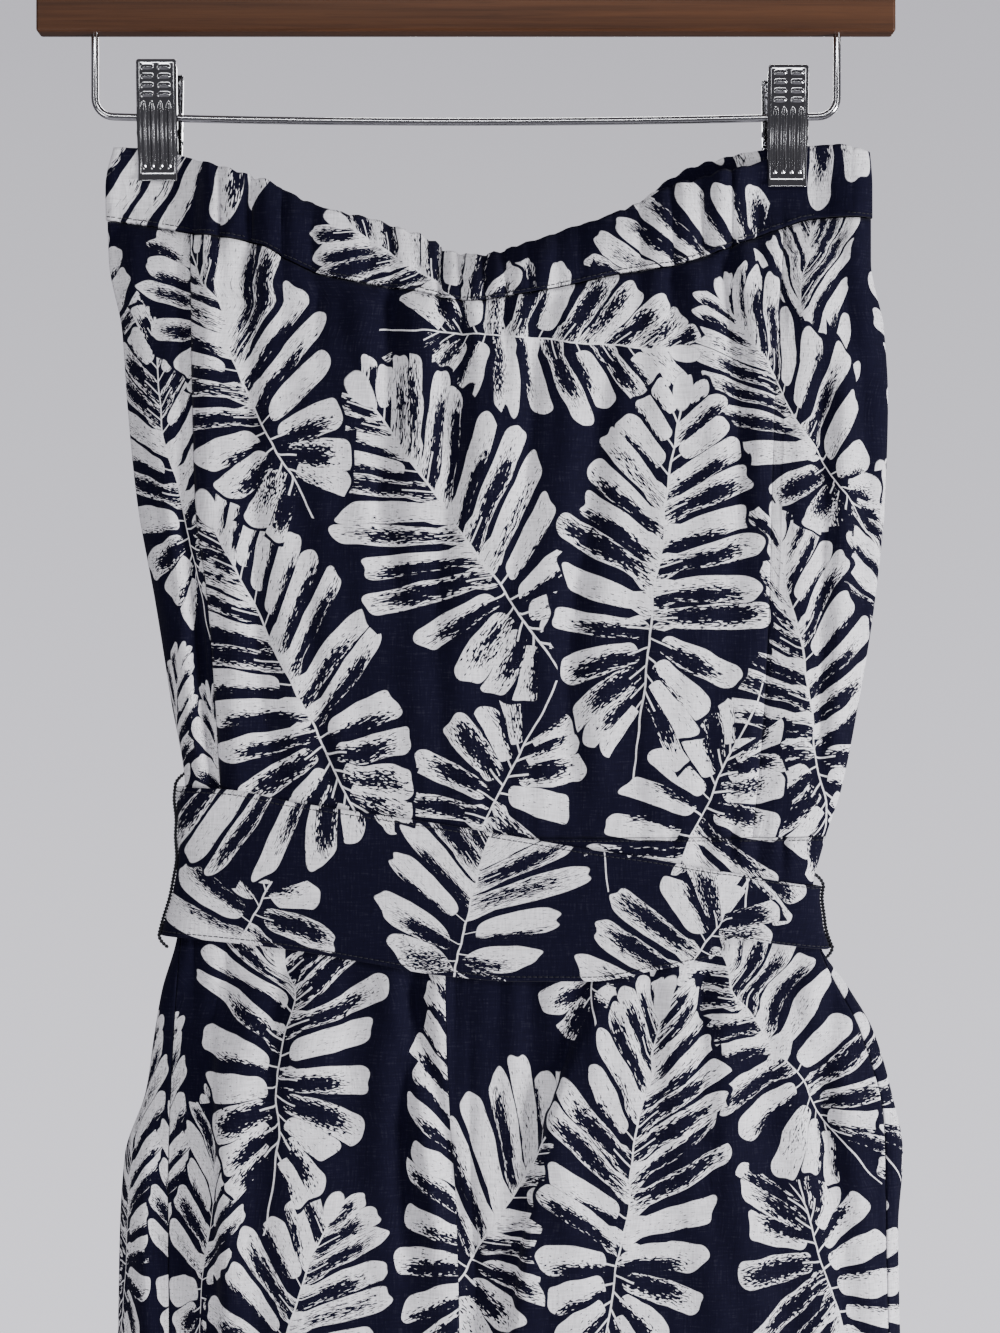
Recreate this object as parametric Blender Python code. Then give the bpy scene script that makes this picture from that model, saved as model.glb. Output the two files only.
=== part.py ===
"""Strapless romper hung from a clip hanger.

Metres, +Z up. The front faces -Y and the origin is the inside crown of the hanger's hook.
Sizes are written in millimetres and turned to metres where each mesh is made.
"""

import math

import bmesh
import bpy
import numpy as np

MM = 0.001
GAP = 0.3  # left between neighbouring pieces
SEAM_GAP = 0.9  # left along the sloping seam under the band
CLOTH_WALL = 1.6
CASING_WALL = 3.0
BELT_WALL = 2.2
HEM_WALL = 3.0
BODICE_ROWS = 7  # the same in neighbouring panels, so that their seams match
HEM_DEPTH = 24.0
HEM_Z = -915.0
CROTCH_Z = -812.0
ROD_RADIUS = 1.85

# z, left edge, right edge, depth of the front sheet, depth of the back sheet
SECTIONS = np.array(
    [
        (-160.0, -173.5, 200.0, 9.0, 9.0),
        (-185.0, -179.0, 202.0, 13.0, 12.0),
        (-222.0, -178.0, 202.0, 19.0, 16.0),
        (-256.0, -171.5, 208.5, 22.0, 19.0),
        (-291.0, -169.0, 210.5, 24.0, 21.0),
        (-341.0, -164.0, 209.0, 25.0, 22.0),
        (-391.0, -155.0, 204.0, 25.0, 22.0),
        (-441.0, -147.0, 196.0, 22.0, 20.0),
        (-486.0, -140.0, 187.0, 18.0, 18.0),
        (-512.0, -140.0, 178.5, 16.5, 16.5),
        (-540.0, -141.0, 172.5, 16.5, 16.5),
        (-562.0, -144.5, 176.0, 18.0, 17.5),
        (-586.0, -151.5, 191.5, 21.0, 19.5),
        (-606.0, -155.0, 203.0, 23.0, 21.0),
        (-636.0, -159.5, 212.0, 25.0, 23.0),
        (-668.0, -170.0, 218.0, 27.0, 25.0),
        (-705.0, -172.5, 215.5, 28.0, 26.0),
        (-757.0, -173.5, 216.5, 28.0, 26.0),
        (-812.0, -175.0, 218.0, 28.0, 26.0),
        (-915.0, -178.0, 222.0, 27.0, 25.0),
    ]
)

# x, top edge of the front band, top edge of the back band, seam under the band
NECKLINE = np.array(
    [
        (-180.0, -165.0, -165.0, -201.5),
        (-156.0, -166.0, -166.0, -205.5),
        (-138.0, -170.5, -171.5, -209.0),
        (-118.0, -177.5, -179.0, -212.0),
        (-102.0, -182.5, -184.5, -215.5),
        (-87.0, -190.0, -192.0, -224.0),
        (-71.0, -197.5, -199.5, -231.0),
        (-48.0, -202.5, -205.0, -235.5),
        (-23.0, -210.5, -213.0, -239.5),
        (-5.0, -219.5, -221.5, -243.5),
        (4.0, -221.0, -222.5, -244.0),
        (22.0, -217.5, -219.0, -241.5),
        (47.0, -209.0, -210.0, -237.0),
        (77.0, -199.0, -198.5, -230.5),
        (104.0, -186.0, -178.0, -226.0),
        (122.0, -180.5, -170.5, -220.0),
        (141.0, -174.5, -167.0, -212.5),
        (158.0, -168.0, -165.0, -206.0),
        (172.0, -164.5, -164.5, -201.5),
        (186.0, -164.0, -164.0, -200.5),
        (202.0, -168.5, -168.5, -200.5),
    ]
)

# z, left seam and right seam between the bodice front and its side panels
BODICE_SEAMS = np.array(
    [
        (-200.0, -137.0, 159.0),
        (-292.0, -135.0, 152.5),
        (-352.0, -133.0, 150.5),
        (-382.0, -128.5, 150.0),
        (-441.0, -124.0, 148.0),
        (-512.0, -120.5, 142.0),
    ]
)

# z, centre seam, left side seam, right side seam of the shorts
SHORTS_SEAMS = np.array(
    [
        (-545.0, -10.0, -140.0, 170.0),
        (-570.0, -10.0, -142.5, 178.0),
        (-606.0, -9.5, -145.0, 196.0),
        (-647.0, -7.5, -146.5, 207.0),
        (-691.0, -4.5, -147.0, 208.5),
        (-757.0, -3.0, -146.5, 209.5),
        (-812.0, -3.0, -147.0, 211.0),
        (-915.0, -3.0, -149.0, 214.0),
    ]
)

# heights of the rings of a leg panel, closest where the hips flare and where the legs part
LEG_ROWS = (
    -547.2, -560.0, -574.0, -594.0, -624.0, -662.0, -705.0,
    -750.0, -784.0, -803.0, -820.0, -860.0, -890.0, -915.0,
)

# x, top edge, bottom edge of the belt
BELT_EDGES = np.array(
    [
        (-152.0, -484.0, -557.5),
        (-119.0, -485.0, -560.5),
        (-86.0, -491.0, -564.0),
        (-52.0, -496.0, -569.5),
        (-12.0, -502.0, -576.0),
        (27.0, -508.5, -579.0),
        (61.0, -514.5, -579.0),
        (91.0, -519.0, -574.0),
        (122.0, -525.0, -566.0),
        (156.0, -531.0, -563.5),
        (184.0, -535.5, -566.0),
    ]
)

WAIST_TOP = -509.0
WAIST_BOTTOM = -547.0

# name, side, lift, softness, then z and x along the line; the cloth on the far side of the line is lifted
FOLD_EDGES = (
    (
        "right leg fold", "front", 9.0, 3.5,
        (-562, 63), (-608, 55), (-656, 40), (-711, 30.5), (-812, 16), (-915, 10),
    ),
    ("left leg fold", "front", 8.0, 3.0, (-562, -124), (-662, -120.5), (-752, -118.5), (-915, -116)),
    ("back leg fold", "back", 6.0, 4.0, (-562, 70), (-680, 78), (-915, 84)),
)

# name, side, rise (below nought for a trough), half width, then x and z of its two ends
CREASES = (
    ("left side crease", "front", -4.0, 6.0, (-160, -300), (-124, -470)),
    ("left front gather", "front", 3.0, 8.0, (-128, -232), (-118, -350)),
    ("right front gather", "front", 3.0, 8.0, (142, -232), (132, -340)),
    ("right side crease", "front", -3.5, 7.0, (176, -240), (168, -470)),
    ("chest crease left", "front", -2.0, 12.0, (-60, -260), (-20, -420)),
    ("chest crease right", "front", -2.0, 12.0, (70, -250), (40, -430)),
    ("hip pleat right", "front", -4.5, 7.0, (158, -572), (187, -690)),
    ("hip ridge right", "front", 3.0, 16.0, (120, -575), (132, -800)),
    ("hip ridge left", "front", 3.0, 15.0, (-72, -575), (-76, -800)),
    ("centre crease", "front", -3.0, 7.0, (-24, -572), (-16, -780)),
    ("left mouth", "front", 3.5, 7.0, (-157, -640), (-160, -757)),
    ("right mouth", "front", 3.0, 5.0, (213, -640), (214, -757)),
    ("back gather left", "back", 3.0, 12.0, (-90, -235), (-70, -420)),
    ("back gather right", "back", 3.0, 12.0, (110, -235), (90, -420)),
    ("back crease", "back", -2.5, 12.0, (5, -250), (10, -440)),
    ("seat ridge left", "back", 3.5, 16.0, (-80, -575), (-86, -800)),
    ("seat ridge right", "back", 3.0, 15.0, (130, -575), (140, -800)),
    ("seat crease", "back", -3.0, 9.0, (20, -572), (24, -780)),
)

# x of each clip's middle, top and foot of its plates, way to the middle of the hanger
CLIPS = (
    ("left", -153.8, -123.0, -182.0, 1.0),
    ("right", 160.3, -125.0, -185.5, -1.0),
)
JAW_WALL = 0.9
JAW_REACH = {"front": 10.0, "back": 9.6}  # half the width of each plate
BACK_JAW_SHIFT, BACK_JAW_DROP = 1.6, 4.5
EAR_REACH = {"front": 9.9, "back": 8.0}  # outer face of the flanges, which pass one inside the other
RIB_PLACES, RIB_HALF, RIB_RISE = (-6.6, -2.2, 2.2, 6.6), 1.1, 0.55
ROD_HOLE_RADIUS = 2.4
SPRING_TURNS, SPRING_RADIUS, SPRING_WIRE = 4, 3.5, 0.55

BAR_LOW, BAR_HIGH, BAR_ROUND = (-214.0, -7.0, -110.0), (214.0, 7.0, -68.0), 2.6
DRILL_RADIUS = 2.2
HOOK_WIRE_RADIUS, HOOK_CENTRE_Z, HOOK_RADIUS = 1.9, -20.0, 21.9
ROD_SPAN, ROD_BEND, ROD_LOW, ROD_SAG = 185.5, 9.5, -149.4, 2.6
WIRE_TOP = -92.0  # where the stem and the rod's ends stop inside the bar

# the thread loops: name, angle on the body, way outwards, top and bottom end, belt's edges there, belt's flare
LOOPS = (
    ("left", math.pi, -1.0, (-476.0, -567.0), (-484.0, -557.5), 3.5),
    ("right", 0.0, 1.0, (-525.0, -574.0), (-535.5, -566.0), 0.0),
)
LOOP_RADIUS = 0.75


def smooth_step(low, high, value):
    """0 below low, 1 above high, and a smooth rise between; low may be the larger number."""
    t = np.clip((np.asarray(value, float) - low) / (high - low), 0.0, 1.0)
    return t * t * (3.0 - 2.0 * t)


def along(table, column, place):
    """One column of a table as a smooth curve over its first column, without overshoot."""
    rows = table[np.argsort(table[:, 0])]
    x, y = rows[:, 0], rows[:, column]
    step = np.diff(x)
    slope = np.diff(y) / step
    tangent = np.zeros(len(x))
    same_way = slope[:-1] * slope[1:] > 0
    mean = 2 * slope[:-1] * slope[1:] / np.where(same_way, slope[:-1] + slope[1:], 1.0)
    tangent[1:-1] = np.where(same_way, mean, 0.0)
    tangent[0], tangent[-1] = slope[0], slope[-1]
    place = np.clip(place, x[0], x[-1])
    k = np.clip(np.searchsorted(x, place) - 1, 0, len(x) - 2)
    t = (place - x[k]) / step[k]
    rise = step[k] * tangent[k] * t * (1 - t) ** 2 - step[k] * tangent[k + 1] * t * t * (1 - t)
    return y[k] * (1 + 2 * t) * (1 - t) ** 2 + y[k + 1] * t * t * (3 - 2 * t) + rise


def gathers(x, front):
    """Uneven small pleats that elastic makes, between -1 and 1."""
    phase = np.where(front, 0.4, 2.1)
    return 0.6 * np.sin(x / 4.4 + phase + 1.3 * np.sin(x / 31.0)) + 0.4 * np.sin(x / 7.4 + 2.0 * phase)


def fold_lift(x, z, front):
    """How far the named folds and creases lift the cloth outwards, in millimetres."""
    lift = np.zeros(np.broadcast(x, z).shape)
    for _, side, height, softness, *line in FOLD_EDGES:
        rows = np.array(line, float)
        edge = along(rows, 1, z)
        past = x - edge
        rise = height / (1 + np.exp(-np.clip(past / softness, -30, 30)))
        rise = rise * np.exp(-np.maximum(past, 0) / 55.0)
        grown = smooth_step(rows[0, 0] - 14, rows[0, 0] - 55, z)
        lift = lift + np.where(front == (side == "front"), rise * grown, 0.0)
    for _, side, height, width, (x0, z0), (x1, z1) in CREASES:
        t = np.clip((z - z0) / (z1 - z0), 0, 1)
        across = (x - (x0 + (x1 - x0) * t)) / width
        ends = smooth_step(z0 - 2, z0 - 30, z) * smooth_step(z1 - 30, z1 + 20, z)
        lift = lift + np.where(front == (side == "front"), height * np.exp(-across * across) * ends, 0.0)
    return lift


def clip_pinch(x, z):
    """1 where a clip's jaws press the two bands together, falling to 0 round about."""
    pinch = np.zeros(np.broadcast(x, z).shape)
    for _, middle, _, foot, _ in CLIPS:
        away = np.maximum(np.abs(x - middle) - 12.5, 0) / 13.0
        pinch = np.maximum(pinch, np.exp(-away * away) * smooth_step(foot - 42, foot - 4, z))
    return pinch


def body_point(angle, z, folded=True):
    """A point of the bodice and hips; angle 0 is the right edge, pi the left, the front between."""
    left, right = along(SECTIONS, 1, z), along(SECTIONS, 2, z)
    front = np.sin(angle) >= 0
    depth = np.where(front, along(SECTIONS, 3, z), along(SECTIONS, 4, z))
    x = (left + right) / 2 + (right - left) / 2 * np.cos(angle)
    fullness = np.abs(np.sin(angle)) ** 0.8
    out = depth * fullness
    if folded:
        room = smooth_step(0, 0.45, fullness)
        out = out + fold_lift(x, z, front) * room
        seam = along(NECKLINE, 3, x)
        near = np.exp(-np.maximum(seam - z, 0) / 38.0) + np.exp(-np.abs(z + 528) / 26.0)
        out = out + 1.15 * gathers(x, front) * near * room
    pinch = clip_pinch(x, z)
    out = out * (1 - pinch) + (CASING_WALL / 2 + 0.15) * pinch
    return np.stack([x, np.where(front, -out, out), z + 0.0 * x], axis=-1)


def band_point(angle, v):
    """A point of the casing band, v 0 at the top edge and 1 at the seam under it."""
    front = np.sin(angle) >= 0
    z = -200.0 + 0.0 * angle
    for _ in range(4):
        x = body_point(angle, z)[..., 0]
        top = np.where(front, along(NECKLINE, 1, x), along(NECKLINE, 2, x))
        z = top + (along(NECKLINE, 3, x) + SEAM_GAP / 2 - top) * v
    point = body_point(angle, z)
    free = 1 - clip_pinch(x, z)
    dip = np.exp(-(((x - 4) / 62.0) ** 2))
    lean = np.where(front, 9.0, -1.0) * dip * np.clip(1 - v, 0, 1) ** 1.2
    puff = 0.9 * np.sin(math.pi * v) * np.where(front, -1.0, 1.0)
    point[..., 1] += (lean + puff) * free * smooth_step(0, 0.3, np.abs(np.sin(angle)))
    return point


def leg_point(side, angle, z, folded=True):
    """A point of one leg; angle 0 is its outer edge, pi its inner edge, the front between."""
    left, right = along(SECTIONS, 1, z), along(SECTIONS, 2, z)
    centre = along(SHORTS_SEAMS, 1, z)
    parted = smooth_step(-752, CROTCH_Z, z)
    away = 0.2 + 1.0 * smooth_step(0, 0.4, parted) + 7.0 * smooth_step(CROTCH_Z, HEM_Z, z)
    outer = np.where(side < 0, left, right)
    inner = centre + side * away
    # the leg is one tube under the crotch, and above it the front stops at the centre seam
    whole = np.where(parted > 0.999, angle, np.clip(angle, -math.pi, math.pi))
    front = np.sin(whole) >= 0
    front = np.where(np.abs(np.abs(whole) - math.pi) < 1e-9, whole > 0, front)
    x = (outer + inner) / 2 + (outer - inner) / 2 * np.cos(whole)
    across = np.clip((x - (left + right) / 2) / ((right - left) / 2), -1, 1)
    hips = (1 - across**2) ** 0.4
    leg = np.abs(np.sin(whole)) ** 0.8
    fullness = hips * (1 - parted) + leg * parted
    depth = np.where(front, along(SECTIONS, 3, z), along(SECTIONS, 4, z))
    out = depth * fullness
    if folded:
        room = smooth_step(0, 0.45, fullness)
        out = out + fold_lift(x, z, front) * room
        out = out + 1.15 * gathers(x, front) * np.exp(-np.abs(z + 528) / 26.0) * room
    return np.stack([x, np.where(front, -out, out), z + 0.0 * x], axis=-1)


def angle_at(x, z, front, outer=None, inner=None):
    """The angle on a section whose x is the one given; without outer and inner, on the bodice."""
    if outer is None:
        outer, inner = along(SECTIONS, 2, z), along(SECTIONS, 1, z)
    across = (x - (outer + inner) / 2) / ((outer - inner) / 2)
    angle = np.arccos(np.clip(across, -1, 1))
    return angle if front else -angle


def finish(name, colour, roughness, metallic=0.0):
    """A Principled material, made once and shared."""
    found = bpy.data.materials.get(name)
    if found:
        return found
    material = bpy.data.materials.new(name)
    material.use_nodes = True
    shader = material.node_tree.nodes["Principled BSDF"]
    shader.inputs["Base Color"].default_value = (*colour, 1.0)
    shader.inputs["Roughness"].default_value = roughness
    shader.inputs["Metallic"].default_value = metallic
    material.diffuse_color = (*colour, 1.0)
    return material


def add_mesh(name, points, faces, material, smooth=True):
    """One named object from points in millimetres."""
    mesh = bpy.data.meshes.new(name)
    mesh.from_pydata([tuple(p) for p in np.asarray(points) * MM], [], faces)
    mesh.update()
    for polygon in mesh.polygons:
        polygon.use_smooth = smooth
    mesh.materials.append(material)
    made = bpy.data.objects.new(name, mesh)
    bpy.context.scene.collection.objects.link(made)
    return made


def cloth(name, surface, columns, rows, wall, material, keep=None):
    """Close a sheet over surface(u, v), u and v from 0 to 1, with half the wall on each side of it."""
    u, v = np.meshgrid(np.linspace(0, 1, columns + 1), np.linspace(0, 1, rows + 1), indexing="ij")
    step = 1e-3
    middle = surface(u, v)
    normal = np.cross(
        surface(u + step, v) - surface(u - step, v), surface(u, v + step) - surface(u, v - step)
    )
    normal /= np.linalg.norm(normal, axis=-1, keepdims=True)
    half = (wall(u, v) if callable(wall) else wall + 0.0 * u)[..., None] / 2
    walls = [middle + normal * half, middle - normal * half]
    if keep:
        walls = [keep(side) for side in walls]
    points = np.concatenate([side.reshape(-1, 3) for side in walls])
    down, count = rows + 1, (columns + 1) * (rows + 1)
    faces = []
    for i in range(columns):
        for j in range(rows):
            a, b, c, d = i * down + j, (i + 1) * down + j, (i + 1) * down + j + 1, i * down + j + 1
            faces += [(a, b, c, d), (a + count, d + count, c + count, b + count)]
    rim = [i * down for i in range(columns + 1)]
    rim += [columns * down + j for j in range(1, down)]
    rim += [i * down + rows for i in range(columns - 1, -1, -1)]
    rim += [j for j in range(rows - 1, 0, -1)]
    for a, b in zip(rim, rim[1:] + rim[:1]):
        faces.append((b, a, a + count, b + count))
    return add_mesh(name, points, faces, material)


def between(first, last, share):
    """The value a share of the way from first to last."""
    return first + (last - first) * share


def add_bands(print_cloth):
    """The elastic casing, a folded band in front and one at the back, joined at the sides."""
    edge = 0.012
    for name, low, high, columns in (
        ("band_front", math.pi - edge, edge, 64),
        ("band_back", -edge, -math.pi + edge, 48),
    ):
        def surface(u, v, low=low, high=high):
            return band_point(between(low, high, u), v)

        cloth(name, surface, columns, 2, CASING_WALL, print_cloth)


def bodice_z(angle_of, u, v):
    """Height of a bodice point, from just under the band's seam to just above the waist casing."""
    z = -240.0 + 0.0 * u
    for _ in range(5):
        x = body_point(angle_of(u, z), z)[..., 0]
        top = along(NECKLINE, 3, x) - SEAM_GAP / 2
        z = between(top, WAIST_TOP + GAP / 2, v)
    return z


def add_bodice(print_cloth):
    """Front, back and two side panels, joined at seams set in from the sides."""

    def seam_angle(column, front, shift):
        return lambda z: angle_at(along(BODICE_SEAMS, column, z) + shift, z, front)

    half = GAP / 2 + 0.05
    once_round = -2 * math.pi
    panels = (
        ("bodice_front", seam_angle(1, True, half), seam_angle(2, True, -half), 0.0, 34),
        ("bodice_side_right", seam_angle(2, True, half), seam_angle(2, False, half), 0.0, 10),
        ("bodice_back", seam_angle(2, False, -half), seam_angle(1, False, half), 0.0, 26),
        ("bodice_side_left", seam_angle(1, False, -half), seam_angle(1, True, -half), once_round, 10),
    )
    for name, first, last, turn, columns in panels:
        def angle_of(u, z, first=first, last=last, turn=turn):
            return between(first(z), last(z) + turn, u)

        def surface(u, v, angle_of=angle_of):
            z = bodice_z(angle_of, u, v)
            return body_point(angle_of(u, z), z)

        cloth(name, surface, columns, BODICE_ROWS, CLOTH_WALL, print_cloth)


def add_waist(print_cloth):
    """The waist casing that gathers bodice and shorts, mostly under the belt."""
    edge = 0.012
    for name, low, high in (("waist_front", math.pi - edge, edge), ("waist_back", -edge, -math.pi + edge)):
        def surface(u, v, low=low, high=high):
            z = between(WAIST_TOP - GAP / 2, WAIST_BOTTOM + GAP / 2, v)
            return body_point(between(low, high, u), z)

        cloth(name, surface, 36, 2, CLOTH_WALL, print_cloth)


def leg_angle(side, z, column, front, shift):
    """Angle on a leg's section where a seam of the shorts runs."""
    outer = along(SECTIONS, 1 if side < 0 else 2, z)
    inner = along(SHORTS_SEAMS, 1, z) + side * 0.2
    x = along(SHORTS_SEAMS, column, z) + shift
    across = (x - (outer + inner) / 2) / ((outer - inner) / 2)
    angle = np.arccos(np.clip(across, -1, 1))
    return angle if front else -angle


def mirrored(surface):
    """The same surface with its columns the other way round."""
    return lambda u, v: surface(1 - u, v)


def add_shorts(print_cloth):
    """Two front and two back panels; each back panel comes round to the side seam in front."""

    def height(v):
        place = v * (len(LEG_ROWS) - 1)
        step = np.clip(np.floor(place).astype(int), 0, len(LEG_ROWS) - 2)
        rows = np.array(LEG_ROWS)
        return between(rows[step], rows[step + 1], place - step)

    def wall(u, v):
        z = height(v)
        return between(CLOTH_WALL, HEM_WALL, smooth_step(HEM_Z + HEM_DEPTH + 4, HEM_Z + HEM_DEPTH, z))

    for side, label, column in ((-1, "left", 2), (1, "right", 3)):
        def keep_front(points, side=side):
            return keep_apart(points, side, -1)

        def keep_back(points, side=side):
            return keep_apart(points, side, 1)

        def front_panel(u, v, side=side, column=column):
            z = height(v)
            seam = leg_angle(side, z, column, True, -side * 0.2)
            return leg_point(side, between(seam, math.pi, u), z)

        def back_panel(u, v, side=side, column=column):
            z = height(v)
            seam = leg_angle(side, z, column, True, side * 0.2)
            return leg_point(side, between(seam, -math.pi, u), z)

        front = front_panel if side < 0 else mirrored(front_panel)
        back = mirrored(back_panel) if side < 0 else back_panel
        rows = len(LEG_ROWS) - 1
        cloth(f"leg_front_{label}", front, 16, rows, wall, print_cloth, keep_front)
        cloth(f"leg_back_{label}", back, 18, rows, wall, print_cloth, keep_back)


def keep_apart(points, side, back):
    """Hold a leg panel on its own side of the centre seam and of the inner leg's seam."""
    points = points.copy()
    centre = along(SHORTS_SEAMS, 1, points[..., 2])
    limit = centre + side * GAP / 2
    clamp = np.minimum if side < 0 else np.maximum
    points[..., 0] = clamp(points[..., 0], limit)
    near = (np.abs(points[..., 0] - centre) < 14) & (points[..., 2] < CROTCH_Z + 30)
    clear = np.maximum(points[..., 1] * back, GAP / 2) * back
    points[..., 1] = np.where(near, clear, points[..., 1])
    return points


def add_belt(print_cloth):
    """A tie belt round the waist, tilted, lapped plainly at the centre back."""
    start, lap = -math.pi / 2 - 0.16, 0.32

    def surface(u, v):
        angle = start - (2 * math.pi + lap) * u
        z = -530.0 + 0.0 * u
        for _ in range(4):
            x = body_point(angle, z, False)[..., 0]
            z = between(along(BELT_EDGES, 1, x), along(BELT_EDGES, 2, x), v)
        turn = 1e-3
        base = body_point(angle, z, False)
        across = body_point(angle - turn, z, False) - body_point(angle + turn, z, False)
        outward = np.stack([across[..., 1], -across[..., 0], 0 * x], axis=-1)
        outward /= np.linalg.norm(outward, axis=-1, keepdims=True)
        flare = 3.5 * smooth_step(0.55, 1.0, v) * smooth_step(-110, -150, x)
        lapped = (BELT_WALL + 0.6) * smooth_step(1 - 0.085, 1 - 0.06, u)
        lift = 3.7 + flare + 1.2 * smooth_step(0.6, 1.0, v) + lapped
        return base + outward * lift[..., None]

    cloth("belt", surface, 64, 2, BELT_WALL, print_cloth)


def sweep(path, radius, sides=10):
    """Points and faces of a round bar along a path of points, with flat ends."""
    path = np.asarray(path, float)
    ways = np.gradient(path, axis=0)
    ways /= np.linalg.norm(ways, axis=1, keepdims=True)
    across = np.cross(ways[0], (0.0, 1.0, 0.0) if abs(ways[0][1]) < 0.9 else (1.0, 0.0, 0.0))
    points, faces = [], []
    for place, way in zip(path, ways):
        across = across - way * np.dot(across, way)
        across /= np.linalg.norm(across)
        other = np.cross(way, across)
        for k in range(sides):
            turn = 2 * math.pi * k / sides
            points.append(place + radius * (math.cos(turn) * across + math.sin(turn) * other))
    for i in range(len(path) - 1):
        for k in range(sides):
            n = (k + 1) % sides
            faces.append((i * sides + k, i * sides + n, (i + 1) * sides + n, (i + 1) * sides + k))
    faces.append(tuple(range(sides - 1, -1, -1)))
    last = (len(path) - 1) * sides
    faces.append(tuple(range(last, last + sides)))
    return points, faces


def rounded(corners, steps):
    """A smooth path through corner points."""
    corners = np.asarray(corners, float)
    padded = np.vstack([2 * corners[0] - corners[1], corners, 2 * corners[-1] - corners[-2]])
    path = []
    for k in range(1, len(padded) - 2):
        a, b, c, d = padded[k - 1 : k + 3]
        for t in np.linspace(0, 1, steps, endpoint=False):
            bend, twist = 2 * a - 5 * b + 4 * c - d, 3 * b - a - 3 * c + d
            path.append(0.5 * (2 * b + (c - a) * t + bend * t * t + twist * t**3))
    path.append(corners[-1])
    return path


def add_belt_loops(thread):
    """A thread loop over the belt at each side seam."""
    for label, angle, way, (top, bottom), (belt_top, belt_bottom), flare in LOOPS:
        def outside(z, clear, angle=angle, way=way):
            return body_point(np.array(angle), np.array(z), False) + np.array([way * clear, 0.0, 0.0])

        path = [
            outside(top, 2.6),
            outside(belt_top + 4.0, 4.6),
            outside(belt_top + 0.4, 6.6),
            outside((belt_top + belt_bottom) / 2, 6.8),
            outside(belt_bottom + 4.0, 6.9 + flare),
            outside(belt_bottom - 0.6, 6.9 + flare),
            outside(belt_bottom - 3.6, 4.8 + flare * 0.6),
            outside(bottom, 2.7),
        ]
        add_mesh(f"belt_loop_{label}", *sweep(rounded(path, 2), LOOP_RADIUS, 5), thread)


def box(points_low, points_high):
    """Points and faces of a box between two corners."""
    (a, b, c), (d, e, f) = points_low, points_high
    points = [(a, b, c), (d, b, c), (d, e, c), (a, e, c), (a, b, f), (d, b, f), (d, e, f), (a, e, f)]
    faces = [(3, 2, 1, 0), (4, 5, 6, 7), (0, 1, 5, 4), (1, 2, 6, 5), (2, 3, 7, 6), (3, 0, 4, 7)]
    return points, faces


def prism(outline, low, high):
    """Points and faces of a (y, z) outline drawn out along x; it runs anticlockwise seen from +x."""
    count = len(outline)
    points = [(low, y, z) for y, z in outline] + [(high, y, z) for y, z in outline]
    faces = [tuple(range(count - 1, -1, -1)), tuple(range(count, 2 * count))]
    for k in range(count):
        n = (k + 1) % count
        faces.append((k, n, n + count, k + count))
    return points, faces


def join(target, other, operation):
    """Apply a boolean with another object, then remove that object."""
    modifier = target.modifiers.new(operation.title(), "BOOLEAN")
    modifier.operation = operation
    modifier.solver = "EXACT"
    modifier.object = other
    with bpy.context.temp_override(object=target, active_object=target, selected_objects=[target]):
        bpy.ops.object.modifier_apply(modifier=modifier.name)
    bpy.data.objects.remove(other, do_unlink=True)


def add_bar(wood):
    """The straight wooden bar, with holes for the hook's stem and the rod's ends."""
    bar = add_mesh("hanger_bar", *box(BAR_LOW, BAR_HIGH), wood, smooth=False)
    shape = bmesh.new()
    shape.from_mesh(bar.data)
    bmesh.ops.bevel(shape, geom=shape.edges[:], offset=BAR_ROUND * MM, segments=2, profile=0.6, affect="EDGES")
    shape.to_mesh(bar.data)
    shape.free()
    holes = ((0.0, -60.0, WIRE_TOP - 2), (-ROD_SPAN, WIRE_TOP + 2, -120.0), (ROD_SPAN, WIRE_TOP + 2, -120.0))
    for x, top, foot in holes:
        path = [(x, 0, foot), (x, 0, (top + foot) / 2), (x, 0, top)]
        drill = add_mesh("drill", *sweep(path, DRILL_RADIUS, 16), wood)
        join(bar, drill, "DIFFERENCE")


def add_hook(steel):
    """The wire hook; the inside of its crown is at the origin."""
    arc = [
        (HOOK_RADIUS * math.cos(turn), 0.0, HOOK_CENTRE_Z + HOOK_RADIUS * math.sin(turn))
        for turn in np.radians(np.linspace(-28, 205, 22))
    ]
    neck = [(-14.5, 0.0, -37.5), (-7.0, 0.0, -44.5), (-1.5, 0.0, -51.5), (0.0, 0.0, -58.0)]
    stem = [(0.0, 0.0, -66.0), (0.0, 0.0, -78.0), (0.0, 0.0, WIRE_TOP)]
    add_mesh("hanger_hook", *sweep(arc + neck + stem, HOOK_WIRE_RADIUS, 12), steel)


def add_rod(steel):
    """The clip rod, bent up into the bar at both ends and sagging a little."""
    path = [(-ROD_SPAN, 0.0, WIRE_TOP), (-ROD_SPAN, 0.0, -115.0), (-ROD_SPAN, 0.0, ROD_LOW + ROD_BEND)]
    for turn in np.radians(np.linspace(15, 90, 6)):
        x = -ROD_SPAN + ROD_BEND * (1 - math.cos(turn))
        path.append((x, 0.0, ROD_LOW + ROD_BEND * (1 - math.sin(turn))))
    for x in np.linspace(-160, 160, 9):
        path.append((x, 0.0, rod_height(x)))
    other_end = [(-x, y, z) for x, y, z in reversed(path[:9])]
    add_mesh("hanger_rod", *sweep(path + other_end, ROD_RADIUS, 12), steel)


def rod_height(x):
    """Height of the rod's axis, which sags to its middle."""
    return ROD_LOW - ROD_SAG + ROD_SAG * (x / (ROD_SPAN - ROD_BEND)) ** 2


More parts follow.
